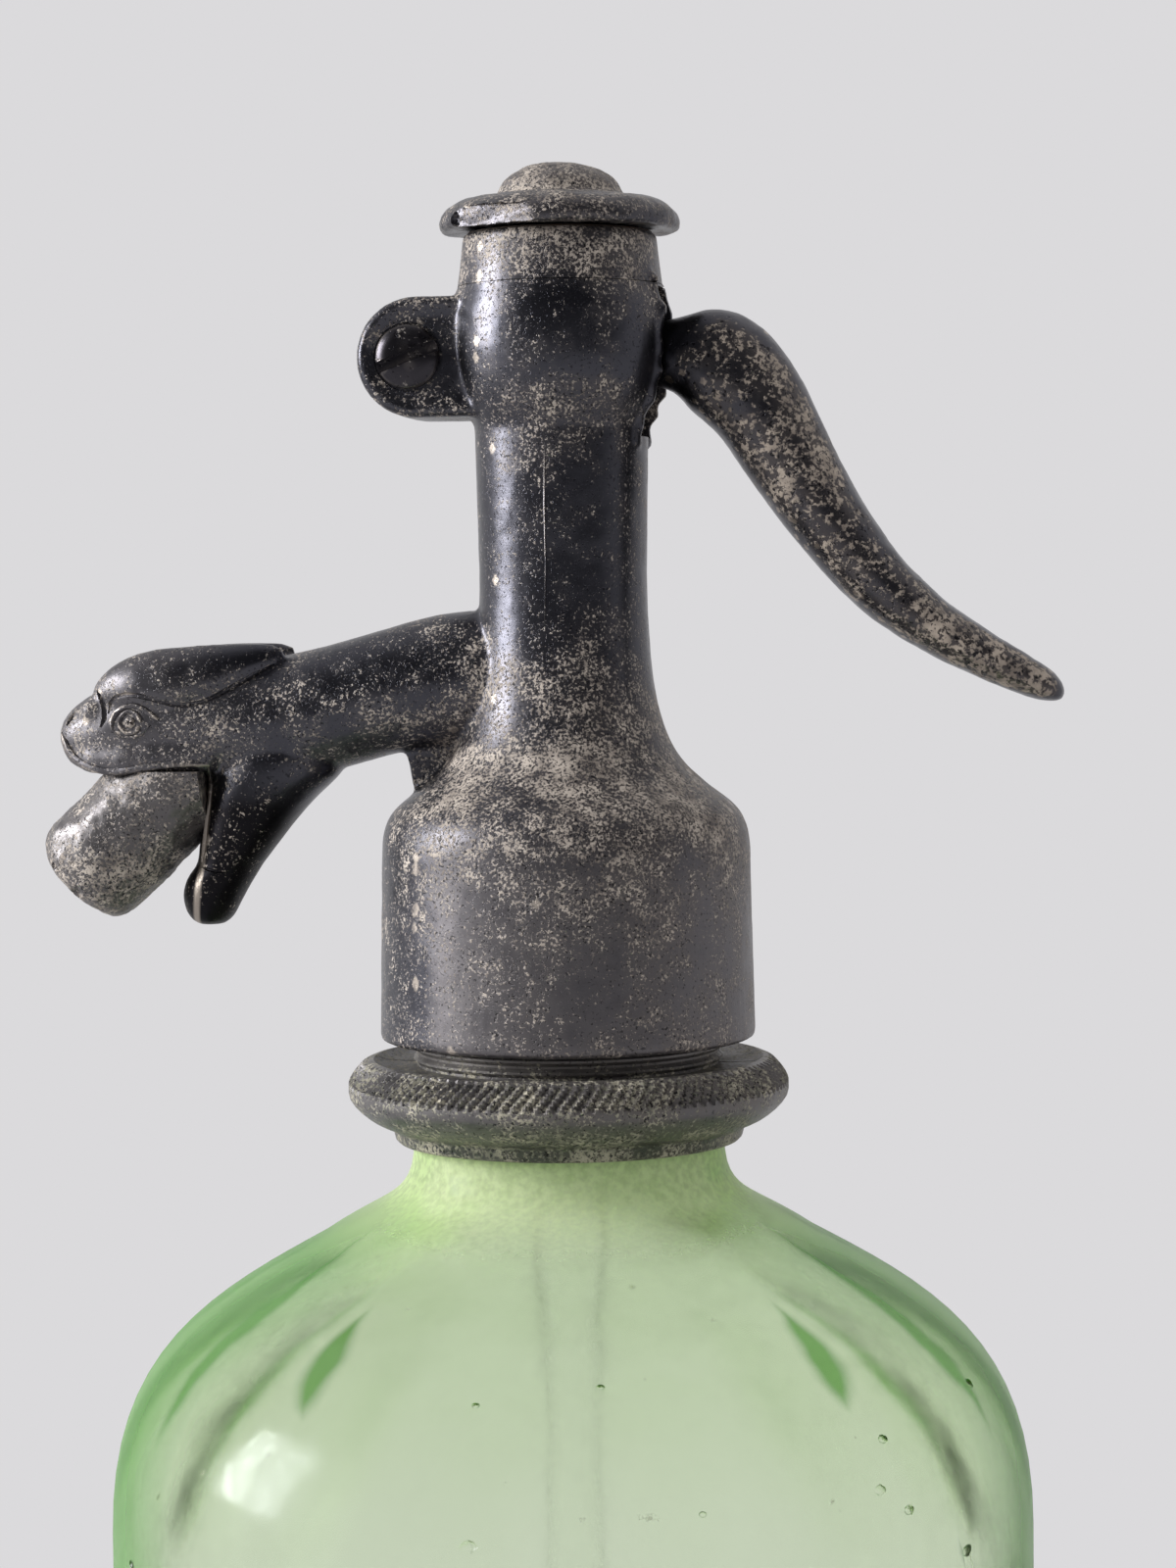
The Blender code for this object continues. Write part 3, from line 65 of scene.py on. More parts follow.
# Camera: on the pivot screw's side of the siphon, a little to the handle's side, at the height of the spout.
# Its tilt and distance follow how open the rims of the collar and the socket and the head's top groove look.
FRAME_HEIGHT_PIXELS = 1600
FOCAL_PIXELS = 3700
AXIS_PIXEL = 577
MIDDLE_PIXEL = 600
SENSOR = 36
CAMERA_DISTANCE = 379 * MM
CAMERA_HEIGHT = 248.6 * MM
CAMERA_SWING = math.radians(7)
CAMERA_DIP = math.radians(2.94)
CAMERA_ROLL = math.radians(0.6)

camera = bpy.data.objects.new("camera", bpy.data.cameras.new("camera"))
bpy.context.collection.objects.link(camera)
camera.data.lens = SENSOR * FOCAL_PIXELS / FRAME_HEIGHT_PIXELS
camera.data.sensor_width = SENSOR
heading = CAMERA_SWING - math.atan((MIDDLE_PIXEL - AXIS_PIXEL) / FOCAL_PIXELS)
stand = (CAMERA_DISTANCE * math.sin(CAMERA_SWING), -CAMERA_DISTANCE * math.cos(CAMERA_SWING), CAMERA_HEIGHT)
camera.matrix_world = (
    Matrix.Translation(stand)
    @ Matrix.Rotation(heading, 4, "Z")
    @ Matrix.Rotation(math.radians(90) - CAMERA_DIP, 4, "X")
    @ Matrix.Rotation(-CAMERA_ROLL, 4, "Z")
)
bpy.context.scene.camera = camera
bpy.context.scene.view_settings.view_transform = "Standard"

# Studio: a sheet of pale paper under the siphon and daylight from all round. What gloss and glass show is the
# paper's colour behind the siphon and a dimmer room in front of it.
PAPER = "DBDADC"
LIT_PAPER = "BAB9BB"
ROOM = "4C4B4F"
DAYLIGHT = 0.8
FLOOR_RADIUS = 3.0
SHADOW_REACH = (0.16, 0.42)


def colour(hex_value):
    """Linear colour of an sRGB value written as six hex digits."""
    parts = [int(hex_value[i : i + 2], 16) / 255 for i in (0, 2, 4)]
    return [p / 12.92 if p <= 0.04045 else ((p + 0.055) / 1.055) ** 2.4 for p in parts] + [1]


def add(tree, kind, *values, **settings):
    """Adds one shader node with its settings, and fills its inputs in order, or by name where a dict names
    them, with links, numbers or colours of six hex digits."""
    made = tree.nodes.new("ShaderNode" + kind)
    for name, value in settings.items():
        setattr(made, name, value)
    for i, value in enumerate(values):
        for name, content in (value if isinstance(value, dict) else {i: value}).items():
            if isinstance(content, bpy.types.NodeSocket):
                tree.links.new(content, made.inputs[name])
            else:
                made.inputs[name].default_value = colour(content) if isinstance(content, str) else content
    return made.outputs


def seen_directly(tree):
    """1 for rays from the camera, or by way of gloss or glass, and 0 for rays that light the object."""
    path = add(tree, "LightPath")
    gloss = add(tree, "Math", path["Is Glossy Ray"], path["Is Transmission Ray"], operation="MAXIMUM")[0]
    return add(tree, "Math", path["Is Camera Ray"], gloss, operation="MAXIMUM")[0]


world = bpy.data.worlds.new("daylight")
world.use_nodes = True
bpy.context.scene.world = world
tree = world.node_tree
tree.nodes.clear()
daylight = add(tree, "Background", {"Color": "FFFFFF", "Strength": DAYLIGHT})[0]
toward = add(tree, "SeparateXYZ", {0: add(tree, "TexCoord")["Generated"]})
path = add(tree, "LightPath")
behind = add(tree, "MapRange", toward["Y"], -0.6, 0.1, interpolation_type="SMOOTHSTEP")[0]
clear = add(tree, "Math", path["Is Camera Ray"], path["Is Transmission Ray"], operation="MAXIMUM")[0]
behind = add(tree, "Math", behind, clear, operation="MAXIMUM")[0]
surround = add(tree, "Mix", {0: behind, 6: ROOM, 7: PAPER}, data_type="RGBA")[2]
backdrop = add(tree, "Background", {"Color": surround, "Strength": 1.0})[0]
sky = add(tree, "MixShader", {0: seen_directly(tree), 1: daylight, 2: backdrop})[0]
add(tree, "OutputWorld", {"Surface": sky})

bpy.ops.object.select_all(action="DESELECT")
bpy.ops.mesh.primitive_circle_add(vertices=128, radius=FLOOR_RADIUS, fill_type="NGON")
floor = bpy.context.object
floor.name = "paper_floor"
floor.data.transform(Matrix.Translation((0, 0, -0.1 * MM)))
paper = bpy.data.materials.new("matt_backdrop_paper")
paper.use_nodes = True
tree = paper.node_tree
tree.nodes.clear()
place = add(tree, "TexCoord")["Object"]
away = add(tree, "VectorMath", {0: place}, operation="LENGTH")["Value"]
far = add(tree, "MapRange", away, *SHADOW_REACH, interpolation_type="SMOOTHSTEP")[0]
in_glass = add(tree, "LightPath")["Is Transmission Ray"]
bare = add(tree, "Math", far, seen_directly(tree), operation="MULTIPLY")[0]
bare = add(tree, "Math", bare, in_glass, operation="MAXIMUM")[0]
near_paper = add(tree, "BsdfDiffuse", {"Color": LIT_PAPER})[0]
far_paper = add(tree, "Emission", {"Color": PAPER, "Strength": 1.0})[0]
sheet = add(tree, "MixShader", {0: bare, 1: near_paper, 2: far_paper})[0]
add(tree, "OutputMaterial", {"Surface": sheet})
floor.data.materials.append(paper)

# Window: two tall panes on the spout's side of the siphon, square to the camera's direction. They give the
# column, the bulge and the glass their long highlights.
PANE_WIDTH = 170 * MM
PANE_HEIGHT = 460 * MM
PANE_GAP = 30 * MM
WINDOW_TURN = math.radians(86)
WINDOW_RISE = math.radians(16)
WINDOW_DISTANCE = 0.95
PANE_POWER = 7.5
azimuth = CAMERA_SWING - math.radians(90) - WINDOW_TURN
out = Vector((math.cos(azimuth), math.sin(azimuth), 0)) * math.cos(WINDOW_RISE)
out.z = math.sin(WINDOW_RISE)
facing = out.to_track_quat("Z", "Y").to_matrix().to_4x4()
for name, side in (("window_pane_near", -1), ("window_pane_far", 1)):
    pane = bpy.data.lights.new(name, "AREA")
    pane.shape = "RECTANGLE"
    pane.size, pane.size_y, pane.energy = PANE_WIDTH, PANE_HEIGHT, PANE_POWER
    holder = bpy.data.objects.new(name, pane)
    bpy.context.collection.objects.link(holder)
    middle = Vector((0, 0, CAMERA_HEIGHT)) + out * WINDOW_DISTANCE
    aside = Matrix.Translation((side * (PANE_WIDTH + PANE_GAP) / 2, 0, 0))
    holder.matrix_world = Matrix.Translation(middle) @ facing @ aside
    holder.visible_transmission = False

# Bottle: one thick piece of pale green pressed glass. The mould gives it a ring of soft flutes inside the
# shoulder and a grooved neck for the screw collar; the heel is round and the foot is ground flat.
bottle_low, bottle_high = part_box("glass_bottle")
collar_low, collar_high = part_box("collar_half_front")
BOTTLE_SIDES = 168
FLUTES = 14
FLUTE_TURN = math.radians(-69.6)
BOTTLE_RADIUS = bottle_high.x
BOTTLE_WALL = 4.6 * MM
BOTTLE_FLOOR = 8 * MM
HEEL_RADIUS = 9 * MM
SHOULDER_RISE = 40 * MM
NECK_BORE_RADIUS = 9.2 * MM
BEAD_RADIUS = 14.2 * MM
BEAD_HEIGHT = 6.5 * MM
MOUTH_EDGE_RADIUS = 1.2 * MM
GROOVE_HEIGHT = 5.6 * MM
GROOVE_RADIUS = 12.4 * MM
SKIRT_RADIUS = 16.3 * MM
SKIRT_HEIGHT = 2.3 * MM
FLUTE_SHARE = 0.014
FLUTE_SPREAD = 6 * MM


def curve(start, first, second, end, count):
    """Points of a cubic curve in a plane, without its start."""
    points = []
    for i in range(1, count + 1):
        t = i / count
        shares = ((1 - t) ** 3, 3 * t * (1 - t) ** 2, 3 * t * t * (1 - t), t**3)
        points.append([sum(s * p[k] for s, p in zip(shares, (start, first, second, end))) for k in (0, 1)])
    return points


def arc(centre, radius, start, end, count):
    """Points of a circle's arc in a plane, in degrees from the outward direction."""
    turns = [math.radians(start + (end - start) * i / count) for i in range(count + 1)]
    return [[centre[0] + radius * math.cos(a), centre[1] + radius * math.sin(a)] for a in turns]


def shoulder_line(body, neck, low, high):
    """The shoulder from the body up to the neck, inside or outside; an S-curve that leaves both upright."""
    rise, step = high - low, body - neck
    flare = (body - step * 0.68, low + rise * 0.74)
    lower_lean = (flare[0] + step * 0.39, flare[1] - rise * 0.172)
    upper_lean = (flare[0] - step * 0.21, flare[1] + rise * 0.115)
    lower = curve((body, low), (body, low + rise * 0.445), lower_lean, flare, 16)
    return lower + curve(flare, upper_lean, (neck, high - rise * 0.16), (neck, high), 12)


def close_up(name):
    """Leaves edit mode with a closed mesh whose faces point out, at the origin, and names the piece."""
    bpy.ops.mesh.select_all(action="SELECT")
    bpy.ops.mesh.remove_doubles(threshold=0.00001)
    bpy.ops.mesh.normals_make_consistent(inside=False)
    bpy.ops.object.mode_set(mode="OBJECT")
    bpy.ops.object.transform_apply(location=True, rotation=True, scale=True)
    bpy.context.object.name = name
    bpy.context.object.data.name = name
    return bpy.context.object


def turn(name, profile, sides, closed=False):
    """A turned solid: its profile's (radius, height) points are drawn out from a disc, or closed to a
    ring."""
    (radius, height), *rest = profile
    bpy.ops.object.select_all(action="DESELECT")
    bpy.ops.mesh.primitive_circle_add(
        vertices=sides,
        radius=radius,
        fill_type="NOTHING" if closed else "NGON",
        location=(0, 0, height),
        enter_editmode=True,
    )
    for next_radius, next_height in rest + ([profile[0]] if closed else []):
        share = next_radius / radius
        bpy.ops.mesh.extrude_region_move(TRANSFORM_OT_translate={"value": (0, 0, next_height - height)})
        bpy.ops.transform.resize(value=(share, share, 1), center_override=(0, 0, next_height))
        radius, height = next_radius, next_height
    return close_up(name)


def edit(piece, chosen=None):
    """Opens a piece in edit mode with the vertices that chosen picks by their place, or all of them."""
    bpy.ops.object.select_all(action="DESELECT")
    piece.select_set(True)
    bpy.context.view_layer.objects.active = piece
    bpy.ops.object.mode_set(mode="EDIT")
    bpy.ops.mesh.select_mode(type="VERT")
    bpy.ops.mesh.select_all(action="DESELECT" if chosen else "SELECT")
    if chosen:
        shape = bmesh.from_edit_mesh(piece.data)
        for vert in shape.verts:
            vert.select_set(chosen(vert.co))
        shape.select_flush_mode()
        bmesh.update_edit_mesh(piece.data)


def apply(piece, kind, **settings):
    """Adds a modifier with its settings and applies it."""
    bpy.context.view_layer.objects.active = piece
    modifier = piece.modifiers.new(kind.lower(), kind)
    for name, value in settings.items():
        setattr(modifier, name, value)
    bpy.ops.object.modifier_apply(modifier=modifier.name)


def gather(name, pieces):
    """Puts several pieces into one object; where they cross, they still do."""
    bpy.ops.object.select_all(action="DESELECT")
    for piece in pieces:
        piece.select_set(True)
    bpy.context.view_layer.objects.active = pieces[0]
    bpy.ops.object.join()
    pieces[0].name = name
    pieces[0].data.name = name
    return pieces[0]


def combine(piece, others, operation):
    """Joins a piece with other ones, or cuts it with them; the others are first made one, and used up."""
    first, *rest = others
    for other in rest:
        combine(first, [other], "UNION")
    apply(piece, "BOOLEAN", object=first, operation=operation, solver="MANIFOLD")
    bpy.data.objects.remove(first, do_unlink=True)


def dress(piece, node, body, material, smooth=35):
    """Gives a piece its material and its slot, and lets it stand for its CAD node, on that body if any."""
    bpy.ops.object.select_all(action="DESELECT")
    piece.select_set(True)
    bpy.context.view_layer.objects.active = piece
    bpy.ops.object.shade_smooth_by_angle(angle=math.radians(smooth))
    piece.data.materials.clear()
    piece.data.materials.append(material)
    if body:
        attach(piece, body)
    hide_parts(node)


def new_material(name):
    """A material with its tree, its shader, and the place of each point in millimetres."""
    material = bpy.data.materials.new(name)
    material.use_nodes = True
    tree = material.node_tree
    place = add(tree, "TexCoord")["Object"]
    mm = add(tree, "Mapping", {"Vector": place, "Scale": (1000, 1000, 1000)})[0]
    return material, tree, tree.nodes["Principled BSDF"], mm


body_top = collar_low.z - SHOULDER_RISE
inner_radius = BOTTLE_RADIUS - BOTTLE_WALL
neck_step = collar_low.z + SKIRT_HEIGHT
bead_low = bottle_high.z - BEAD_HEIGHT
outside = arc((BOTTLE_RADIUS - HEEL_RADIUS, HEEL_RADIUS), HEEL_RADIUS, -90, 0, 12)
outside += [[BOTTLE_RADIUS, HEEL_RADIUS + (body_top - HEEL_RADIUS) * i / 8] for i in range(1, 9)]
outside += shoulder_line(BOTTLE_RADIUS, SKIRT_RADIUS, body_top, collar_low.z)
outside += [[SKIRT_RADIUS, neck_step], [GROOVE_RADIUS, bead_low - GROOVE_HEIGHT], [GROOVE_RADIUS, bead_low]]
outside += [[BEAD_RADIUS, bead_low + MOUTH_EDGE_RADIUS]]
mouth_edge = (BEAD_RADIUS - MOUTH_EDGE_RADIUS, bottle_high.z - MOUTH_EDGE_RADIUS)
outside += arc(mouth_edge, MOUTH_EDGE_RADIUS, 0, 90, 5)
inside = arc((inner_radius - HEEL_RADIUS, BOTTLE_FLOOR + HEEL_RADIUS), HEEL_RADIUS, -90, 0, 10)
heel_top = inside[-1][1]
inside += [[inner_radius, heel_top + (body_top - BOTTLE_WALL - heel_top) * i / 8] for i in range(1, 9)]
inside += shoulder_line(inner_radius, NECK_BORE_RADIUS, body_top - BOTTLE_WALL, collar_low.z - BOTTLE_WALL)
inside += [[NECK_BORE_RADIUS, bottle_high.z]]
bottle = turn("glass_bottle", outside + inside[::-1], BOTTLE_SIDES)


def on_flute(place):
    """The crests of the flutes, on the inner skin of the shoulder."""
    radius = math.hypot(place.x, place.y)
    share = (math.atan2(place.y, place.x) - FLUTE_TURN) / math.tau * FLUTES
    crest = abs(share - round(share)) < 0.6 * FLUTES / BOTTLE_SIDES
    height_share = (place.z - body_top) / SHOULDER_RISE
    skin = min(inside, key=lambda point: math.hypot(point[0] - radius, point[1] - place.z))
    inner = math.hypot(skin[0] - radius, skin[1] - place.z) < 0.05 * MM
    return crest and inner and 0.12 < height_share < 0.6


edit(bottle, on_flute)
bpy.ops.transform.resize(
    value=(1 - FLUTE_SHARE, 1 - FLUTE_SHARE, 1),
    center_override=(0, 0, 0),
    use_proportional_edit=True,
    use_proportional_connected=True,
    proportional_edit_falloff="SMOOTH",
    proportional_size=FLUTE_SPREAD,
)
bpy.ops.object.mode_set(mode="OBJECT")

# Chips and blisters in the skin: each is a turn round the bottle in degrees, a height and a size
CHIPS = ((-96, 171.7, 0.4), (-95, 161.2, 1.3), (-79, 173.5, 0.4), (-41, 167.4, 0.7), (-44, 162.4, 1.0))
CHIPS += ((-40, 160, 0.9), (-30, 155.2, 1.3), (-16, 169.2, 0.8), (-68, 163, 0.4), (-150, 152, 1.1))
CHIPS += ((-20, 120, 0.9), (40, 150, 0.8), (95, 130, 1.1), (150, 90, 0.9), (-75, 60, 1.0))
CHIP_DEPTH = 0.35 * MM


def ball(name, centre, radius, squash=(1, 1, 1), ragged=0.0, seed=0):
    """A round lump at a place, pushed in along each axis and made ragged."""
    bpy.ops.object.select_all(action="DESELECT")
    bpy.ops.mesh.primitive_ico_sphere_add(
        subdivisions=3, radius=radius, location=centre, scale=squash, enter_editmode=True
    )
    bpy.ops.transform.vertex_random(offset=radius * ragged, seed=seed)
    return close_up(name)


chips = []
for degrees, height, size in CHIPS:
    skin = min(outside, key=lambda point: abs(point[1] - height * MM))
    across = skin[0] + size * MM - CHIP_DEPTH
    centre = (across * math.cos(math.radians(degrees)), across * math.sin(math.radians(degrees)), skin[1])
    chips.append(ball("chip", centre, size * MM, (1, 1, 0.7), 0.12, degrees + 200))
combine(bottle, chips, "DIFFERENCE")

# A mark on the outer skin, which the glass reads so that its painted shades, darker green in the flutes and
# at its edges, stay off the inner one
marks = bottle.data.attributes.new("outer_skin", "FLOAT", "POINT")
skins = [(*point, 1.0) for point in outside] + [(*point, 0.0) for point in inside]
for vert, mark in zip(bottle.data.vertices, marks.data):
    radius = math.hypot(vert.co.x, vert.co.y)
    mark.value = min(skins, key=lambda skin: math.hypot(skin[0] - radius, skin[1] - vert.co.z))[2]


def glass(name, tint, density, wave, scuff_roughness):
    """Soda-lime glass: clear skin, green in its depth, with a slightly wavy surface and fine scuffs."""
    material, tree, shader, mm = new_material(name)
    shader.inputs["Transmission Weight"].default_value = 1.0
    shader.inputs["IOR"].default_value = 1.52
    shader.inputs["Specular Tint"].default_value = colour("30363C")
    shader.inputs["Base Color"].default_value = colour("FFFFFF")
    swell = add(tree, "TexNoise", {"Vector": mm, "Scale": 0.08, "Detail": 2.0})["Fac"]
    waves = add(tree, "Bump", {"Height": swell, "Strength": 1.0, "Distance": wave})[0]
    scuffs = add(tree, "TexNoise", {"Vector": mm, "Scale": 0.6, "Detail": 6.0, "Roughness": 0.6})["Fac"]
    scuffs = add(tree, "MapRange", scuffs, 0.4, 0.75, 0.12, scuff_roughness)[0]
    tree.links.new(waves, shader.inputs["Normal"])
    tree.links.new(scuffs, shader.inputs["Roughness"])
    depth = add(tree, "VolumeAbsorption", {"Color": tint, "Density": density})[0]
    tree.links.new(depth, tree.nodes["Material Output"].inputs["Volume"])
    return material, tree, shader, mm


# The glass is a deeper green in the flutes, where it is thickest, and painted darker there where the flutes
# bend and reflect dark things: a painted shade, as long blades towards the mould's two seams and short ones
# between, kept mostly to the near side. A mist of fine drops covers the inside of the neck, and a thin film
# of lime the rest, with a few brown specks of dirt. The glass is also painted a deeper green at its edges,
# where
# it turns away from the view: a painted shade.
MIST_COLOUR = "E6F3C0"
FILM_COLOUR = "DDE2D2"
RIM_COLOUR = "6FA55A"
DIRT_COLOUR = "7A6A42"
CREST_GREEN_AND_PAINTED_SHADE = "5C9A46"
BLADE_MIDDLE = 174.5
pressed_glass, tree, shader, mm = glass("pressed_green_glass", "AFE528", 36.0, 0.2 * MM, 0.25)
axes = add(tree, "SeparateXYZ", {0: mm})
bearing = add(tree, "Math", axes["Y"], axes["X"], operation="ARCTAN2")[0]
to_seam = add(tree, "Math", bearing, operation="COSINE")[0]
to_seam = add(tree, "Math", to_seam, operation="ABSOLUTE")[0]
first_flute = 2 * FLUTES + 0.5 - FLUTE_TURN / math.tau * FLUTES
turned = add(tree, "Math", bearing, FLUTES / math.tau, first_flute, operation="MULTIPLY_ADD")[0]
turned = add(tree, "Math", turned, operation="FRACT")[0]
wander = add(tree, "TexNoise", {"Vector": mm, "Scale": 0.09, "Detail": 2.0})["Fac"]
wander = add(tree, "Math", wander, 0.3, -0.15, operation="MULTIPLY_ADD")[0]
turned = add(tree, "Math", turned, wander, operation="ADD")[0]
from_crest = add(tree, "Math", turned, 0.5, operation="SUBTRACT")[0]
from_crest = add(tree, "Math", from_crest, operation="ABSOLUTE")[0]
# Painted shade: blades of darker green over the flutes, long near the seams and short between, kept mostly to
# the near side and to the outer skin
blade_reach = add(tree, "MapRange", to_seam, 0.74, 0.82, 5.0, 11.5)[0]
along_blade = add(tree, "Math", axes["Z"], BLADE_MIDDLE, operation="SUBTRACT")[0]
along_blade = add(tree, "Math", along_blade, blade_reach, operation="DIVIDE")[0]
narrowing = add(tree, "Math", along_blade, along_blade, operation="MULTIPLY")[0]
blade_width = add(tree, "Math", narrowing, -0.17, 0.17, operation="MULTIPLY_ADD")[0]
blade = add(tree, "Math", blade_width, from_crest, operation="SUBTRACT")[0]
blade = add(tree, "MapRange", blade, 0.0, 0.12, interpolation_type="SMOOTHSTEP")[0]
near_seam = add(tree, "MapRange", to_seam, 0.38, 0.5)[0]
on_front = add(tree, "MapRange", axes["Y"], 5.0, -5.0, 0.1, 1.0)[0]
outer_skin = add(tree, "Attribute", attribute_name="outer_skin")["Fac"]
for limit in (near_seam, on_front, outer_skin):
    blade = add(tree, "Math", blade, limit, operation="MULTIPLY")[0]
# The blades mix in the darker green: partly the flutes' thicker glass, partly painted shade
tint = add(tree, "Mix", {0: blade, 6: "FFFFFF", 7: CREST_GREEN_AND_PAINTED_SHADE}, data_type="RGBA")[2]
tree.links.new(tint, shader.inputs["Base Color"])
in_neck = add(tree, "MapRange", axes["Z"], 180.0, 188.0, 0.0, 0.8, interpolation_type="SMOOTHSTEP")[0]
streaky = add(tree, "Mapping", {"Vector": mm, "Scale": (1, 1, 0.35)})[0]
film = add(tree, "TexNoise", {"Vector": streaky, "Scale": 0.07, "Detail": 5.0, "Roughness": 0.65})["Fac"]
film = add(tree, "MapRange", film, 0.45, 0.75, 0.0, 0.03)[0]
drops = add(tree, "TexNoise", {"Vector": mm, "Scale": 1.3, "Detail": 2.0})["Fac"]
drops = add(tree, "MapRange", drops, 0.35, 0.65, 0.8, 1.15)[0]
cover = add(tree, "Math", in_neck, film, operation="MAXIMUM")[0]
cover = add(tree, "Math", cover, drops, operation="MULTIPLY")[0]
# Painted shade: a deeper green painted on the outer skin where it turns away from the view, at the glass's
# edges
turned_away = add(tree, "LayerWeight", {"Blend": 0.5})["Facing"]
rim = add(tree, "MapRange", turned_away, 0.42, 0.8, 0.0, 0.62, interpolation_type="SMOOTHSTEP")[0]
rim = add(tree, "Math", rim, outer_skin, operation="MULTIPLY")[0]
dirt = add(tree, "TexNoise", {"Vector": mm, "Scale": 0.34, "Detail": 4.0, "Roughness": 0.55})["Fac"]
dirt = add(tree, "MapRange", dirt, 0.72, 0.76, 0.0, 0.5)[0]
for layer in (rim, dirt):
    cover = add(tree, "Math", cover, layer, operation="MAXIMUM")[0]
# The haze colour also takes in the painted green shade of the edges
haze_and_painted_edge_shade = FILM_COLOUR
at_rim = add(tree, "MapRange", rim, 0.0, 0.2)[0]
for layer, layer_colour in ((at_rim, RIM_COLOUR), (in_neck, MIST_COLOUR), (dirt, DIRT_COLOUR)):
    haze_and_painted_edge_shade = add(tree, "Mix", {0: layer, 6: haze_and_painted_edge_shade, 7: layer_colour}, data_type="RGBA")[2]
lit_through = add(tree, "BsdfTranslucent", {"Color": haze_and_painted_edge_shade})[0]
lit_in_front = add(tree, "BsdfDiffuse", {"Color": haze_and_painted_edge_shade})[0]
dull = add(tree, "MixShader", {0: 0.5, 1: lit_through, 2: lit_in_front})[0]
skin = add(tree, "MixShader", {0: cover, 1: shader.outputs[0], 2: dull})[0]
tree.links.new(skin, tree.nodes["Material Output"].inputs["Surface"])
dress(bottle, "glass_bottle", "root", pressed_glass)

# Dip tube: a drawn glass tube from the valve down to the bottle's floor, fire-polished at both ends. A rubber
# sleeve and a tin ferrule hold it in the neck, and the mouth washer seals the bottle against the head.
tube_low, tube_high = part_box("dip_tube")
TUBE_SIDES = 64
TUBE_WALL = 1.2 * MM
tube_radius = tube_high.x
lip = TUBE_WALL / 2
tube_line = arc((tube_radius - lip, tube_low.z + lip), lip, -180, 0, 8)
tube_line += arc((tube_radius - lip, tube_high.z - lip), lip, 0, 180, 8)
dip_tube = turn("dip_tube", tube_line, TUBE_SIDES, closed=True)
drawn_glass = glass("drawn_tube_glass", "D0F0B0", 20.0, 0.05 * MM, 0.05)[0]
dress(dip_tube, "dip_tube", "root", drawn_glass)


def turned_metal(name, clean, worn, roughness):
    """Machined metal with fine turning marks round the axis and duller stained patches."""
    material, tree, shader, mm = new_material(name)
    shader.inputs["Metallic"].default_value = 1.0
    cloud = add(tree, "TexNoise", {"Vector": mm, "Scale": 0.5, "Detail": 4.0})["Fac"]
    flat = add(tree, "Mapping", {"Vector": mm, "Scale": (0.1, 0.1, 1)})[0]
    marks = add(tree, "TexNoise", {"Vector": flat, "Scale": 7.0, "Detail": 1.0})["Fac"]
    relief = add(tree, "Bump", {"Height": marks, "Strength": 0.5, "Distance": 0.02 * MM})[0]
    stains = add(tree, "MapRange", cloud, 0.35, 0.65)[0]
    tint = add(tree, "Mix", {0: stains, 6: clean, 7: worn}, data_type="RGBA")[2]
    rough = add(tree, "MapRange", cloud, 0.3, 0.7, roughness - 0.08, roughness + 0.15)[0]
    tree.links.new(tint, shader.inputs["Base Color"])
    tree.links.new(rough, shader.inputs["Roughness"])
    tree.links.new(relief, shader.inputs["Normal"])
    return material


def dull_stuff(name, main, other, grain):
    """Rubber or leather: matt and mottled, with a fine skin."""
    material, tree, shader, mm = new_material(name)
    shader.inputs["Roughness"].default_value = 0.78
    cloud = add(tree, "TexNoise", {"Vector": mm, "Scale": grain, "Detail": 4.0})["Fac"]
    relief = add(tree, "Bump", {"Height": cloud, "Strength": 0.6, "Distance": 0.05 * MM})[0]
    mottle = add(tree, "MapRange", cloud, 0.35, 0.65)[0]
    tint = add(tree, "Mix", {0: mottle, 6: main, 7: other}, data_type="RGBA")[2]
    tree.links.new(tint, shader.inputs["Base Color"])
    tree.links.new(relief, shader.inputs["Normal"])
    return material


def refinish(material, *names):
    """Gives CAD nodes that stay a better finish."""
    for name in names:
        nodes[name].data.materials.clear()
        nodes[name].data.materials.append(material)


turned_brass = turned_metal("turned_brass", "A98945", "75592F", 0.34)
aged_rubber = dull_stuff("aged_rubber", "3A332E", "26211E", 1.6)
oiled_leather = dull_stuff("oiled_leather", "3B2A1C", "241A12", 1.1)
refinish(turned_brass, "tube_ferrule")
refinish(aged_rubber, "tube_grommet", "mouth_washer")

# Collar: a screw ring cast in tin alloy and split in two so that it closes round the neck's groove. Its
# flange is dished on top and knurled for the hand, the thread stands above it, and the foot is left as
# cast.
COLLAR_CLEARANCE = 0.3 * MM
TEETH = 120
COLUMNS_PER_TOOTH = 4
TOOTH_DEPTH = 0.5 * MM
KNURL_ROWS = 7
FLANGE_HEIGHT = 8.6 * MM
FLANGE_TOP_INSET = 2.3 * MM
DISH_DEPTH = 0.6 * MM
FOOT_RADIUS = SKIRT_RADIUS + COLLAR_CLEARANCE + 1.6 * MM
THREAD_RADIUS = BEAD_RADIUS + COLLAR_CLEARANCE + 1.7 * MM
THREAD_DEPTH = 0.35 * MM
THREAD_PITCH = 1.2 * MM
flange_radius = max(collar_high.x, -collar_low.x)
flange_top = collar_low.z + FLANGE_HEIGHT
flange_step = flange_radius - FOOT_RADIUS
# Underside of the flange, from the foot out: shares of the step outwards and of the flange's height
FLANGE_SHARES = ((0.05, 0.14), (0.14, 0.185), (0.24, 0.21), (0.36, 0.235), (0.5, 0.275), (0.63, 0.325))
FLANGE_SHARES += ((0.76, 0.385), (0.88, 0.455), (0.97, 0.53), (1.0, 0.6), (1.0, 0.66))
knurl_low = collar_low.z + 6.1 * MM
knurl_high = flange_top - 0.4 * MM


def knurl_ring(row):
    """Radius and height of one row of points on the knurled band, which rounds over inwards to the top."""
    share = row / (KNURL_ROWS - 1)
    inset = FLANGE_TOP_INSET * 0.62 * share**1.5
    return [flange_radius - inset, knurl_low + (knurl_high - knurl_low) * share]


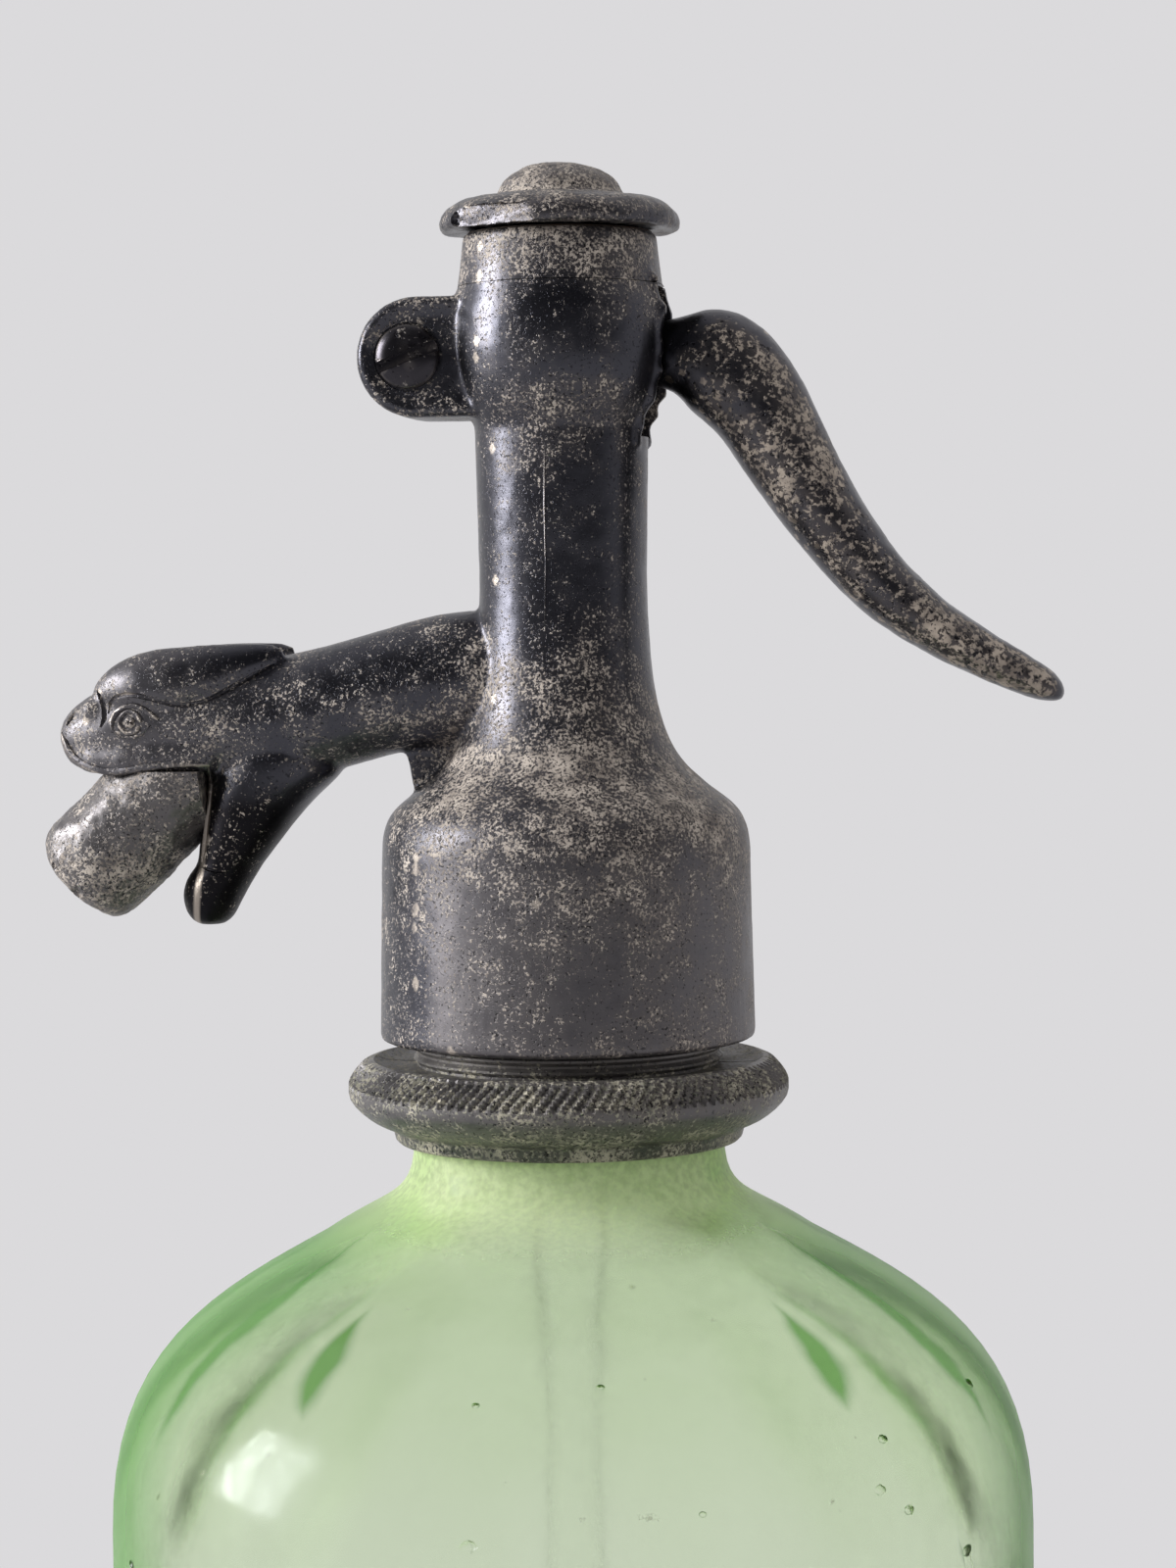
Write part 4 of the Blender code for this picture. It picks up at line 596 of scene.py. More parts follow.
collar_line = [[FOOT_RADIUS - 0.3 * MM, collar_low.z], [FOOT_RADIUS, collar_low.z + 0.3 * MM]]
collar_line += [
    [FOOT_RADIUS + flange_step * out_share, collar_low.z + FLANGE_HEIGHT * up_share]
    for out_share, up_share in FLANGE_SHARES
]
collar_line += [knurl_ring(row) for row in range(KNURL_ROWS)]
collar_line += [
    [flange_radius - FLANGE_TOP_INSET * 0.9, flange_top - 0.12 * MM],
    [flange_radius - FLANGE_TOP_INSET * 1.15, flange_top],
    [flange_radius - FLANGE_TOP_INSET - DISH_DEPTH * 2, flange_top - DISH_DEPTH * 0.8],
    [THREAD_RADIUS + 1.2 * MM, flange_top - DISH_DEPTH],
]
height = flange_top - DISH_DEPTH
thread_root = THREAD_RADIUS - THREAD_DEPTH
while height + THREAD_PITCH < collar_high.z:
    collar_line += [
        [thread_root, height],
        [thread_root, height + 0.2 * THREAD_PITCH],
        [THREAD_RADIUS, height + 0.5 * THREAD_PITCH],
        [THREAD_RADIUS, height + 0.7 * THREAD_PITCH],
    ]
    height += THREAD_PITCH
collar_line += [[thread_root, height], [thread_root, collar_high.z]]
collar_line += [
    [BEAD_RADIUS + COLLAR_CLEARANCE, collar_high.z],
    [BEAD_RADIUS + COLLAR_CLEARANCE, bead_low + COLLAR_CLEARANCE],
    [GROOVE_RADIUS + COLLAR_CLEARANCE, bead_low - COLLAR_CLEARANCE],
    [GROOVE_RADIUS + COLLAR_CLEARANCE, bead_low - GROOVE_HEIGHT + COLLAR_CLEARANCE],
    [SKIRT_RADIUS + COLLAR_CLEARANCE, neck_step + COLLAR_CLEARANCE],
    [SKIRT_RADIUS + COLLAR_CLEARANCE, collar_low.z],
]
collar = turn("collar", collar_line, TEETH * COLUMNS_PER_TOOTH, closed=True)
for row in range(KNURL_ROWS):
    rim, level = knurl_ring(row)

    def in_gap(place):
        """The points of this row that lie between two slanting teeth."""
        column = round(math.atan2(place.y, place.x) / math.tau * TEETH * COLUMNS_PER_TOOTH)
        on_row = math.hypot(place.x, place.y) > rim - 0.1 * MM and abs(place.z - level) < 0.05 * MM
        return on_row and (column - row) % COLUMNS_PER_TOOTH < 2

    edit(collar, in_gap)
    share = 1 - TOOTH_DEPTH / rim
    bpy.ops.transform.resize(value=(share, share, 1), center_override=(0, 0, 0))
    bpy.ops.object.mode_set(mode="OBJECT")


def guide(tree, place, stops):
    """Wear in red and dust in green along a line, from stops of (place in mm, wear, dust)."""
    low, high = stops[0][0], stops[-1][0]
    ramp = tree.nodes.new("ShaderNodeValToRGB")
    tree.links.new(add(tree, "MapRange", place, low, high)[0], ramp.inputs["Fac"])
    elements = ramp.color_ramp.elements
    for where, wear, dust in stops[1:-1]:
        elements.new((where - low) / (high - low))
    for element, (where, wear, dust) in zip(elements, stops):
        element.color = (wear, dust, 0, 1)
    return ramp.outputs["Color"]


# The painted highlight along the front edge of the painted shade on the jaw: the rise of x with z, and x in
# millimetres at z = 0
PAINTED_HIGHLIGHT_LINE = (0.1275, -66.4)


def cast_metal(name, up_stops, along_stops=None, dark="47474D", worn="6C6869", dust="6A615A", pale="ADA399",
               grain=3.0, pitted=0.3, flank=None, edge_wear=0.8, painted_shade_below=None):
    """Tin alloy cast in sand and gone dark with age: a glossy blue-black skin, rubbed to matt grey where
    hands reach it, with a brown film and specks of dry dust in the hollows, and fine pits. The stops say
    how much wear and dust there is at each height, and along the spout or lever; flank gives a handle's
    half width at x = 0 and its fall, so that the dust keeps to its sides. Below and beyond the place given
    for the painted shade, the skin is painted nearly black, with less rub and dust: a painted shade, with a
    pale painted highlight along its front edge."""
    material, tree, shader, mm = new_material(name)
    axes = add(tree, "SeparateXYZ", {0: mm})
    lay = guide(tree, axes["Z"], up_stops)
    if along_stops:
        along = guide(tree, axes["X"], along_stops)
        end = along_stops[-1][0] if along_stops[-1][0] < 0 else along_stops[0][0]
        past_end = add(tree, "MapRange", axes["X"], end, end + math.copysign(2, end))[0]
        lay = add(tree, "Mix", {0: past_end, 6: lay, 7: along}, data_type="RGBA")[2]
    share = add(tree, "SeparateColor", {0: lay})
    cloud = add(tree, "TexNoise", {"Vector": mm, "Scale": 0.13, "Detail": 4.0, "Roughness": 0.6})["Fac"]
    patch = add(tree, "TexNoise", {"Vector": mm, "Scale": 0.45, "Detail": 4.0, "Roughness": 0.6})["Fac"]
    sand = {"Vector": mm, "Scale": grain, "Detail": 3.0, "Roughness": 0.65, "Distortion": 0.2}
    speck = add(tree, "TexNoise", sand)["Fac"]
    pinholes = {"Vector": mm, "Scale": grain * 1.1, "Detail": 2.0, "Distortion": 0.1}
    pore = add(tree, "TexNoise", pinholes)["Fac"]
    uneven = add(tree, "Math", patch, 0.9, -1.2, operation="MULTIPLY_ADD")[0]
    uneven = add(tree, "Math", cloud, 1.5, uneven, operation="MULTIPLY_ADD")[0]
    cover = add(tree, "Math", share["Green"], uneven, operation="ADD")[0]
    if flank:
        width = add(tree, "Math", axes["X"], flank[1], flank[0], operation="MULTIPLY_ADD")[0]
        aside = add(tree, "Math", axes["Y"], operation="ABSOLUTE")[0]
        aside = add(tree, "Math", aside, width, operation="DIVIDE")[0]
        on_flank = add(tree, "MapRange", aside, 0.4, 0.75, -0.6, 0.1)[0]
        cover = add(tree, "Math", cover, on_flank, operation="ADD")[0]
    rub = add(tree, "Math", uneven, 0.5, share["Red"], operation="MULTIPLY_ADD")[0]
    rub = add(tree, "MapRange", rub, 0.1, 0.9)[0]
    # Painted shade: beyond and below the given place, on the jaw under the spout arm, the skin is painted
    # nearly black, with less rub and dust
    painted_shade = 0.0
    if painted_shade_below:
        beyond = add(tree, "MapRange", axes["X"], painted_shade_below[0] + 3, painted_shade_below[0] - 1)[0]
        below = add(tree, "MapRange", axes["Z"], painted_shade_below[1] + 2, painted_shade_below[1] - 2)[0]
        painted_shade = add(tree, "Math", beyond, below, operation="MULTIPLY")[0]
        rub = add(tree, "Math", painted_shade, -1.0, rub, operation="MULTIPLY_ADD")[0]
        cover = add(tree, "Math", painted_shade, -0.2, cover, operation="MULTIPLY_ADD")[0]
    film = add(tree, "MapRange", cover, 0.1, 0.9, 0.0, 0.75)[0]
    crust = add(tree, "Math", cover, 0.28, speck, operation="MULTIPLY_ADD")[0]
    crust = add(tree, "MapRange", crust, 0.65, 0.73)[0]
    pit = add(tree, "Math", cover, -0.06, pore, operation="MULTIPLY_ADD")[0]
    pit = add(tree, "MapRange", pit, 0.37, 0.31)[0]
    pit_depth = add(tree, "MapRange", cover, -0.2, 0.5, pitted, 0.9)[0]
    pit = add(tree, "Math", pit, pit_depth, operation="MULTIPLY")[0]
    sharp = add(tree, "NewGeometry")["Pointiness"]
    edge = add(tree, "MapRange", sharp, 0.545, 0.6, 0.0, edge_wear)[0]
    edge_gaps = add(tree, "MapRange", patch, 0.3, 0.5)[0]
    edge = add(tree, "Math", edge, edge_gaps, operation="MULTIPLY")[0]

    # The layers of colour, from the metal up to the rubbed edges; on the jaw also a painted shade and a
    # painted highlight
    toward_handle = add(tree, "MapRange", axes["X"], -14.0, 12.0)[0]
    brown = add(tree, "Mix", {0: toward_handle, 6: "424146", 7: "4D443D"}, data_type="RGBA")[2]
    mottle = add(tree, "MapRange", patch, 0.35, 0.65)[0]
    dry = add(tree, "Mix", {0: mottle, 6: dust, 7: pale}, data_type="RGBA")[2]
    skin = add(tree, "Mix", {0: rub, 6: dark, 7: worn}, data_type="RGBA")[2]
    # The near-black layer is painted shade on the jaw; the other layers are the metal's own colours
    for layer, tint in ((film, brown), (painted_shade, "1E1D20"), (crust, dry), (pit, "17161A"), (edge, pale)):
        skin = add(tree, "Mix", {0: layer, 6: skin, 7: tint}, data_type="RGBA")[2]
    # A pale painted highlight along the jaw's front edge, inside the painted shade
    if painted_shade_below:
        front = add(tree, "Math", axes["X"], PAINTED_HIGHLIGHT_LINE[1], operation="SUBTRACT")[0]
        front = add(tree, "Math", axes["Z"], -PAINTED_HIGHLIGHT_LINE[0], front, operation="MULTIPLY_ADD")[0]
        front = add(tree, "Math", front, operation="ABSOLUTE")[0]
        painted_highlight = add(tree, "MapRange", front, 0.2, 0.5, 0.75, 0.0)[0]
        painted_highlight = add(tree, "Math", painted_highlight, painted_shade, operation="MULTIPLY")[0]
        skin = add(tree, "Mix", {0: painted_highlight, 6: skin, 7: pale}, data_type="RGBA")[2]

    # How rough, how metallic and how high each layer is
    rough = 0.29
    # The painted shade on the jaw is also made rougher
    for layer, amount in ((film, 0.16), (rub, 0.14), (painted_shade, 0.25)):
        rough = add(tree, "Math", layer, amount, rough, operation="MULTIPLY_ADD")[0]
    crust_rough = add(tree, "Math", crust, 0.75, operation="MULTIPLY")[0]
    rough = add(tree, "Math", rough, crust_rough, operation="MAXIMUM")[0]
    shine = 1.0
    for layer, amount in ((film, -0.45), (rub, -0.3)):
        shine = add(tree, "Math", layer, amount, shine, operation="MULTIPLY_ADD")[0]
    shine = add(tree, "Math", shine, 0.15, operation="MAXIMUM")[0]
    crust_shine = add(tree, "MapRange", crust, 0.0, 1.0, 1.0, 0.15)[0]
    shine = add(tree, "Math", shine, crust_shine, operation="MULTIPLY")[0]
    height = 0.0
    for layer, amount in ((speck, 0.12), (crust, 0.3), (pit, -0.6)):
        height = add(tree, "Math", layer, amount, height, operation="MULTIPLY_ADD")[0]
    tree.links.new(skin, shader.inputs["Base Color"])
    tree.links.new(rough, shader.inputs["Roughness"])
    tree.links.new(shine, shader.inputs["Metallic"])
    relief = add(tree, "Bump", {"Height": height, "Strength": 1.0, "Distance": 0.06 * MM})[0]
    tree.links.new(relief, shader.inputs["Normal"])
    return material


COLLAR_STOPS = ((191, 0.4, 0.7), (194, 0.4, 0.6), (196, 0.6, 0.35), (198.5, 0.7, 0.6), (200.3, 0.6, 0.5))
COLLAR_STOPS += ((201, 0.8, 0.3), (214, 0.8, 0.3))
collar_metal = cast_metal(
    "collar_tin_alloy", COLLAR_STOPS, worn="7C7875", dust="66665A", pale="A39D8D", grain=2.4
)
bpy.ops.object.select_all(action="DESELECT")
collar.select_set(True)
bpy.context.view_layer.objects.active = collar
bpy.ops.object.duplicate()
other_half = bpy.context.object
for half, node, side in ((collar, "collar_half_front", -1), (other_half, "collar_half_back", 1)):
    edit(half)
    bpy.ops.mesh.bisect(
        plane_co=(0, side * COLLAR_CLEARANCE / 2, 0),
        plane_no=(0, side, 0),
        use_fill=True,
        clear_inner=True,
    )
    close_up(node + "_knurled")
    dress(half, node, "root", collar_metal)

# Head: one casting in tin alloy with the screw socket, the column and its bulge, the pivot lug, and the
# spout arm that ends in an animal's head. It is cast in sand, so its edges are soft and its skin is rough,
# and then bored for the valve and slotted for the lever.
head_low, head_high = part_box("head_casting")
pivot = frame["joints"][0]["pos_m"]
pivot_reach, pivot_height = -pivot[0], pivot[2]
HEAD_SIDES = 96
SOCKET_RADIUS = 19.65 * MM
SOCKET_TOP_RADIUS = 19.25 * MM
SOCKET_HEIGHT = 19.9 * MM
HEAD_SHOULDER_HEIGHT = 7.2 * MM
HEAD_SHOULDER_RADIUS = 14.2 * MM
SWEEP_HEIGHT = 22 * MM
COLUMN_RADIUS = 8.75 * MM
BULGE_RADIUS = 11.3 * MM
BULGE_TOP_RADIUS = 10.65 * MM
HEAD_TOP_RADIUS = 10 * MM
SEAT_RIM = 1.05 * MM
socket_top = head_low.z + SOCKET_HEIGHT
shoulder_top = socket_top + HEAD_SHOULDER_HEIGHT
bulge_foot = pivot_height - 7.6 * MM
bulge_centre = pivot_height + 2.4 * MM
bulge_top = pivot_height + 7.3 * MM
head_line = [[SOCKET_RADIUS - 0.4 * MM, head_low.z], [SOCKET_RADIUS, head_low.z + 0.4 * MM]]
head_line += [[SOCKET_RADIUS - 0.4 * MM * i / 5, head_low.z + SOCKET_HEIGHT * i / 5] for i in range(1, 6)]
head_line += curve(
    (SOCKET_TOP_RADIUS, socket_top),
    (SOCKET_TOP_RADIUS, socket_top + HEAD_SHOULDER_HEIGHT * 0.62),
    (HEAD_SHOULDER_RADIUS + 2.3 * MM, shoulder_top - HEAD_SHOULDER_HEIGHT * 0.3),
    (HEAD_SHOULDER_RADIUS, shoulder_top),
    12,
)
head_line += curve(
    (HEAD_SHOULDER_RADIUS, shoulder_top),
    (COLUMN_RADIUS + 1.8 * MM, shoulder_top + SWEEP_HEIGHT * 0.13),
    (COLUMN_RADIUS, shoulder_top + SWEEP_HEIGHT * 0.32),
    (COLUMN_RADIUS, shoulder_top + SWEEP_HEIGHT),
    16,
)
head_line += curve(
    (COLUMN_RADIUS, bulge_foot),
    (COLUMN_RADIUS + 1.15 * MM, bulge_foot + 2.25 * MM),
    (BULGE_RADIUS, bulge_centre - 6.0 * MM),
    (BULGE_RADIUS, bulge_centre),
    12,
)
head_line += curve(
    (BULGE_RADIUS, bulge_centre),
    (BULGE_RADIUS, bulge_centre + 2.9 * MM),
    (BULGE_RADIUS, bulge_top - 2.7 * MM),
    (BULGE_TOP_RADIUS, bulge_top),
    8,
)
top_slope = HEAD_TOP_RADIUS - BULGE_TOP_RADIUS
top_rise = head_high.z + SEAT_RIM - bulge_top
head_line += [[BULGE_TOP_RADIUS + top_slope * i / 4, bulge_top + top_rise * i / 4] for i in range(1, 5)]
body = turn("head_casting", head_line, HEAD_SIDES)


def loft(name, stations, sides=32, soften=0):
    """Draws a round section out along stations of (x, y, z), lean in degrees, half height and half width, and
    rounds the kinks between them."""
    centre, lean, tall, wide = stations[0]
    bpy.ops.object.select_all(action="DESELECT")
    bpy.ops.mesh.primitive_circle_add(
        vertices=sides, radius=1, fill_type="NGON", rotation=(0, math.radians(90), 0), enter_editmode=True
    )
    bpy.ops.transform.resize(value=(1, wide, tall), center_override=(0, 0, 0))
    bpy.ops.transform.translate(value=centre)
    bpy.ops.transform.rotate(value=-math.radians(lean), orient_axis="Y", center_override=centre)
    for next_centre, next_lean, next_tall, next_wide in stations[1:]:
        step = Vector(next_centre) - Vector(centre)
        bpy.ops.mesh.extrude_region_move(TRANSFORM_OT_translate={"value": step})
        bpy.ops.transform.rotate(value=math.radians(lean), orient_axis="Y", center_override=next_centre)
        bpy.ops.transform.resize(value=(1, next_wide / wide, next_tall / tall), center_override=next_centre)
        bpy.ops.transform.rotate(value=-math.radians(next_lean), orient_axis="Y", center_override=next_centre)
        centre, lean, tall, wide = next_centre, next_lean, next_tall, next_wide
    made = close_up(name)
    if soften:
        apply(made, "SUBSURF", levels=soften, render_levels=soften)
    return made


def block(name, low, high):
    """A box between two corners."""
    low, high = Vector(low), Vector(high)
    bpy.ops.object.select_all(action="DESELECT")
    bpy.ops.mesh.primitive_cube_add(size=1, location=(low + high) / 2, scale=high - low, enter_editmode=True)
    return close_up(name)


def recast(piece, grain):
    """Melts a piece's crossing parts into one skin, with the soft edges of a casting."""
    apply(piece, "REMESH", mode="VOXEL", voxel_size=grain)
    apply(piece, "SMOOTH", factor=0.5, iterations=2)


def lumps(name, size):
    """A cloudy texture for the uneven skin of a casting."""
    texture = bpy.data.textures.new(name, "CLOUDS")
    texture.noise_scale = size
    texture.noise_depth = 3
    return texture


cast_lumps = lumps("cast_lumps", 3 * MM)
cast_grain = lumps("cast_grain", 0.9 * MM)


def roughen(piece, lump_height, grain_height):
    """Gives a piece the uneven skin of a sand casting."""
    for texture, strength in ((cast_lumps, lump_height), (cast_grain, grain_height)):
        apply(piece, "DISPLACE", texture=texture, texture_coords="LOCAL", strength=strength)


# Arm and skull: x, level, half height and half width in millimetres
ARM = (
    (-3, 240.4, 6.7, 5.9),
    (-10, 240.5, 7.3, 6.2),
    (-16.2, 239.7, 6.7, 6.3),
    (-22, 238.0, 6.7, 6.3),
    (-28, 236.3, 6.8, 6.3),
    (-33.5, 235.9, 6.4, 6.3),
    (-38.9, 236.0, 5.9, 6.2),
    (-43.7, 235.8, 5.6, 6.0),
    (-47.3, 235.3, 5.1, 5.4),
    (-50, 234.9, 4.4, 4.4),
    (-52.1, 234.5, 3.4, 3.3),
    (-53.4, 234.5, 2.1, 2.2),
    (-53.9, 234.6, 0.8, 1.0),
)
# Upper lip on each side of the mouth: x, y, level, half height and half width
LIP = (
    (-36.5, 3.6, 232.9, 2.2, 2.2),
    (-40, 4.0, 232.5, 2.0, 2.1),
    (-46, 3.8, 232.1, 1.9, 2.0),
    (-50, 2.7, 232.2, 1.7, 1.7),
    (-52.5, 1.3, 232.9, 1.3, 1.3),
    (-53.4, 0.6, 233.4, 0.9, 0.8),
)
# Lower jaw down from the throat: level, x, half length and half width
JAW = (
    (237, -30.4, 6.4, 5.4),
    (231.3, -30.3, 7.7, 5.8),
    (229.3, -31.5, 6.6, 5.7),
    (227.2, -32.9, 5.5, 5.4),
    (223.1, -34.8, 4.2, 4.8),
    (221.2, -35.6, 3.55, 4.4),
    (220.5, -36.1, 3.4, 4.2),
    (220.0, -36.5, 3.6, 4.3),
    (218.4, -37.4, 3.5, 4.2),
    (216.6, -37.9, 3.0, 3.8),
    (215.2, -37.9, 2.3, 3.2),
    (214.4, -37.9, 1.3, 2.2),
)
# Ear and brow in one leaf on each side: x, y, level, half height and half thickness
EAR = (
    (-28.9, 3.1, 243.2, 0.5, 0.4),
    (-30.3, 3.3, 243.0, 1.3, 0.9),
    (-33.0, 3.7, 242.4, 2.1, 1.3),
    (-36.0, 4.2, 241.7, 2.8, 1.55),
    (-39.5, 4.6, 241.0, 3.3, 1.75),
    (-42.5, 4.6, 240.8, 3.3, 1.85),
    (-45.0, 4.25, 240.6, 2.9, 1.8),
    (-47.2, 3.65, 240.1, 2.3, 1.6),
    (-48.9, 2.9, 239.5, 1.5, 1.2),
    (-49.8, 2.4, 239.1, 0.7, 0.6),
)
EAR_TILT = math.radians(29)
MOUTH_ROOF = 230.7 * MM
MOUTH_CORNER = 38 * MM
MOUTH_HALF_WIDTH = 10 * MM
NOSTRIL = (-49.6, 3.3, 237.2)
NOSTRIL_RADIUS = 1.35 * MM
VOXEL = 0.42 * MM
skull = [loft("arm", [((x * MM, 0, z * MM), 0, tall * MM, wide * MM) for x, z, tall, wide in ARM], 32, 1)]
for side in (-1, 1):
    lip_side = [((x * MM, side * y * MM, z * MM), 0, tall * MM, wide * MM) for x, y, z, tall, wide in LIP]
    skull.append(loft("lip", lip_side, 20))
    tilt = Matrix.Rotation(side * EAR_TILT, 3, "X")
    upright = [
        (tilt.inverted() @ Vector((x, side * y, z)) * MM, 0, tall * MM, thick * MM)
        for x, y, z, tall, thick in EAR
    ]
    ear = loft("ear", upright, 24, 1)
    ear.data.transform(tilt.to_4x4())
    skull.append(ear)
    nostril_place = (NOSTRIL[0] * MM, side * NOSTRIL[1] * MM, NOSTRIL[2] * MM)
    skull.append(ball("nostril", nostril_place, NOSTRIL_RADIUS, (1, 0.9, 1)))
skull = gather("skull", skull)
recast(skull, VOXEL)
roof_low = (-MOUTH_CORNER - 30 * MM, -MOUTH_HALF_WIDTH, MOUTH_ROOF - 20 * MM)
combine(skull, [block("roof", roof_low, (-MOUTH_CORNER, MOUTH_HALF_WIDTH, MOUTH_ROOF))], "DIFFERENCE")
jaw = loft("jaw", [((x * MM, 0, z * MM), 90, long * MM, wide * MM) for z, x, long, wide in JAW], 32, 1)

# Web under the arm: a thin upright plate left by the mould
WEB_THICKNESS = 3 * MM
WEB_REACH = 17.2 * MM
WEB_FOOT_REACH = 15.4 * MM
WEB_TOP = 236 * MM
web_low = (-WEB_REACH, -WEB_THICKNESS / 2, shoulder_top - HEAD_SHOULDER_HEIGHT / 2)
web = block("web", web_low, (0, WEB_THICKNESS / 2, WEB_TOP))
edit(web, lambda place: place.x < -WEB_REACH / 2 and place.z < shoulder_top)
bpy.ops.transform.translate(value=(WEB_REACH - WEB_FOOT_REACH, 0, 0))
close_up("web")

# Lug for the pivot screw: a round-ended plate whose near face is sunk inside a rim
LUG_RADIUS = 6.25 * MM
LUG_THICKNESS = 11 * MM
LUG_REACH = pivot_reach - 0.76 * MM
LUG_RIM = 1.1 * MM
LUG_SINK = 0.45 * MM
lug_line = [
    [LUG_RADIUS - 0.8 * MM, 0],
    [LUG_RADIUS, 0.8 * MM],
    [LUG_RADIUS, LUG_THICKNESS - 0.6 * MM],
    [LUG_RADIUS - 0.5 * MM, LUG_THICKNESS],
    [LUG_RADIUS - LUG_RIM, LUG_THICKNESS],
    [LUG_RADIUS - LUG_RIM - LUG_SINK, LUG_THICKNESS - LUG_SINK],
]
lug = turn("lug", lug_line, 64)
edit(lug, lambda place: place.x > 0.1 * MM)
bpy.ops.transform.translate(value=(LUG_REACH - COLUMN_RADIUS / 2, 0, 0))
bpy.ops.object.mode_set(mode="OBJECT")
quarter_turn = Matrix.Rotation(math.radians(90), 4, "X")
lug.data.transform(Matrix.Translation((-LUG_REACH, LUG_THICKNESS / 2, pivot_height)) @ quarter_turn)

# Flash: ragged fins of metal that stand along both edges of the lever's slot
SLOT_HALF_WIDTH = 3.2 * MM
SLOT_LOW = pivot_height - 8.4 * MM
SLOT_HIGH = pivot_height + 7.0 * MM
FLASH_THICKNESS = 0.9 * MM
FLASH_PROUD = 0.9 * MM
FLASH_ROOT = 4 * MM
FLASH_EDGE = 9 * MM
FLASH_STEPS = 16
random.seed(7)


def radius_at(height):
    """Radius of the head's turned outline at a height."""
    above = next(i for i, point in enumerate(head_line) if point[1] >= height and i)
    (low_radius, low), (high_radius, high) = head_line[above - 1], head_line[above]
    return low_radius + (high_radius - low_radius) * (height - low) / max(high - low, 0.01 * MM)


flash_step = (SLOT_HIGH - SLOT_LOW + 2 * MM) / FLASH_STEPS
fins = []
for side in (-1, 1):
    near, off = sorted((side * SLOT_HALF_WIDTH, side * (SLOT_HALF_WIDTH + FLASH_THICKNESS)))
    fin = block("fin", (FLASH_ROOT, near, SLOT_LOW - 1 * MM), (FLASH_EDGE, off, SLOT_HIGH + 1 * MM))
    edit(fin)
    bpy.ops.mesh.subdivide(number_cuts=FLASH_STEPS - 1)
    bpy.ops.object.mode_set(mode="OBJECT")
    for step in range(FLASH_STEPS + 1):
        level = SLOT_LOW - 1 * MM + flash_step * step
        edge = math.sqrt(radius_at(level) ** 2 - SLOT_HALF_WIDTH**2) + random.uniform(0.1, 1.0) * FLASH_PROUD
        edit(fin, lambda place: place.x > FLASH_EDGE - 0.1 * MM and abs(place.z - level) < 0.3 * flash_step)
        bpy.ops.transform.translate(value=(edge - FLASH_EDGE, 0, 0))
        bpy.ops.object.mode_set(mode="OBJECT")
    fins.append(fin)

head = gather("head_casting", [body, skull, jaw, web, lug] + fins)
recast(head, VOXEL)
roughen(head, 0.11 * MM, 0.02 * MM)
bpy.context.view_layer.update()


def on_side(x, z, side):
    """The point of the head's side at a place in millimetres seen square on."""
    found, point, normal, face = head.ray_cast((x * MM, side * 30 * MM, z * MM), (0, -side, 0))
    return point if found else Vector((x * MM, 0, z * MM))


def ridge(points, radius, side, sunk=0.0, seed=1):
    """A thin ragged line over the head's side, thinner at its ends, and sunk a little into it or out of
    it."""
    stations = []
    for i, (x, z) in enumerate(points):
        before, after = points[max(i - 1, 0)], points[min(i + 1, len(points) - 1)]
        lean = math.degrees(math.atan2(before[1] - after[1], after[0] - before[0]))
        if stations:
            lean += 360 * round((stations[-1][1] - lean) / 360)
        taper = 0.35 if i in (0, len(points) - 1) else 1
        place = on_side(x, z, side) - Vector((0, side * sunk * MM, 0))
        stations.append((tuple(place), lean, radius * taper * MM, radius * taper * MM))
    line = loft("ridge", stations, 10)
    edit(line)
    bpy.ops.transform.vertex_random(offset=radius * 0.25 * MM, seed=seed)
    return close_up("ridge")


EYE = (-45.1, 236.1)
EYE_RINGS = ((1.15, 0.22), (0.3, 0.3))
MOUTH_LINE = ((-53.4, 235.0), (-52.9, 234.1), (-52.4, 233.2), (-51.7, 232.4), (-50.8, 231.8), (-49.6, 231.3),
              (-48.2, 231.0), (-46.8, 230.9), (-45.3, 231.1), (-43.7, 231.4), (-42.2, 231.6), (-40.7, 231.7),
              (-38.7, 231.8), (-36.8, 231.6))
JAW_FRONT = ((-36.9, 231.4), (-37.1, 229.5), (-37.3, 227.2), (-37.6, 225.3), (-37.9, 223.3), (-38.2, 221.2))
BROW = ((-47.6, 237.0), (-47.4, 238.0), (-46.6, 238.7), (-45.4, 239.0), (-44.0, 238.9), (-42.7, 238.6),
        (-41.4, 238.2), (-40.2, 237.9), (-38.7, 237.9), (-37.1, 238.2), (-36.0, 238.7), (-33.8, 239.9),
        (-32.1, 240.9), (-30.0, 242.0))
LID = ((-47.1, 235.3), (-47.2, 236.2), (-46.7, 237.1), (-45.8, 237.7), (-44.6, 237.9), (-43.5, 237.5),
       (-42.6, 236.8), (-42.0, 236.4))
UNDER_LID = ((-47.2, 235.1), (-46.1, 234.6), (-44.7, 234.5), (-43.7, 235.0), (-42.9, 235.8))
FOLD = ((-49.0, 239.5), (-48.4, 238.5), (-48.1, 237.5), (-48.0, 236.5), (-48.4, 235.6))
NOSE_PIT = ((-52.7, 235.7), (-52.3, 236.4), (-51.8, 237.1))
JAW_SEAM = ((-38.7, 220.9), (-37.6, 220.6), (-36.6, 220.4), (-35.5, 220.2))
COLUMN_SEAM = ((-0.7, 264), (-0.8, 258), (-0.7, 252), (-0.9, 246))
raised, sunken = [], []
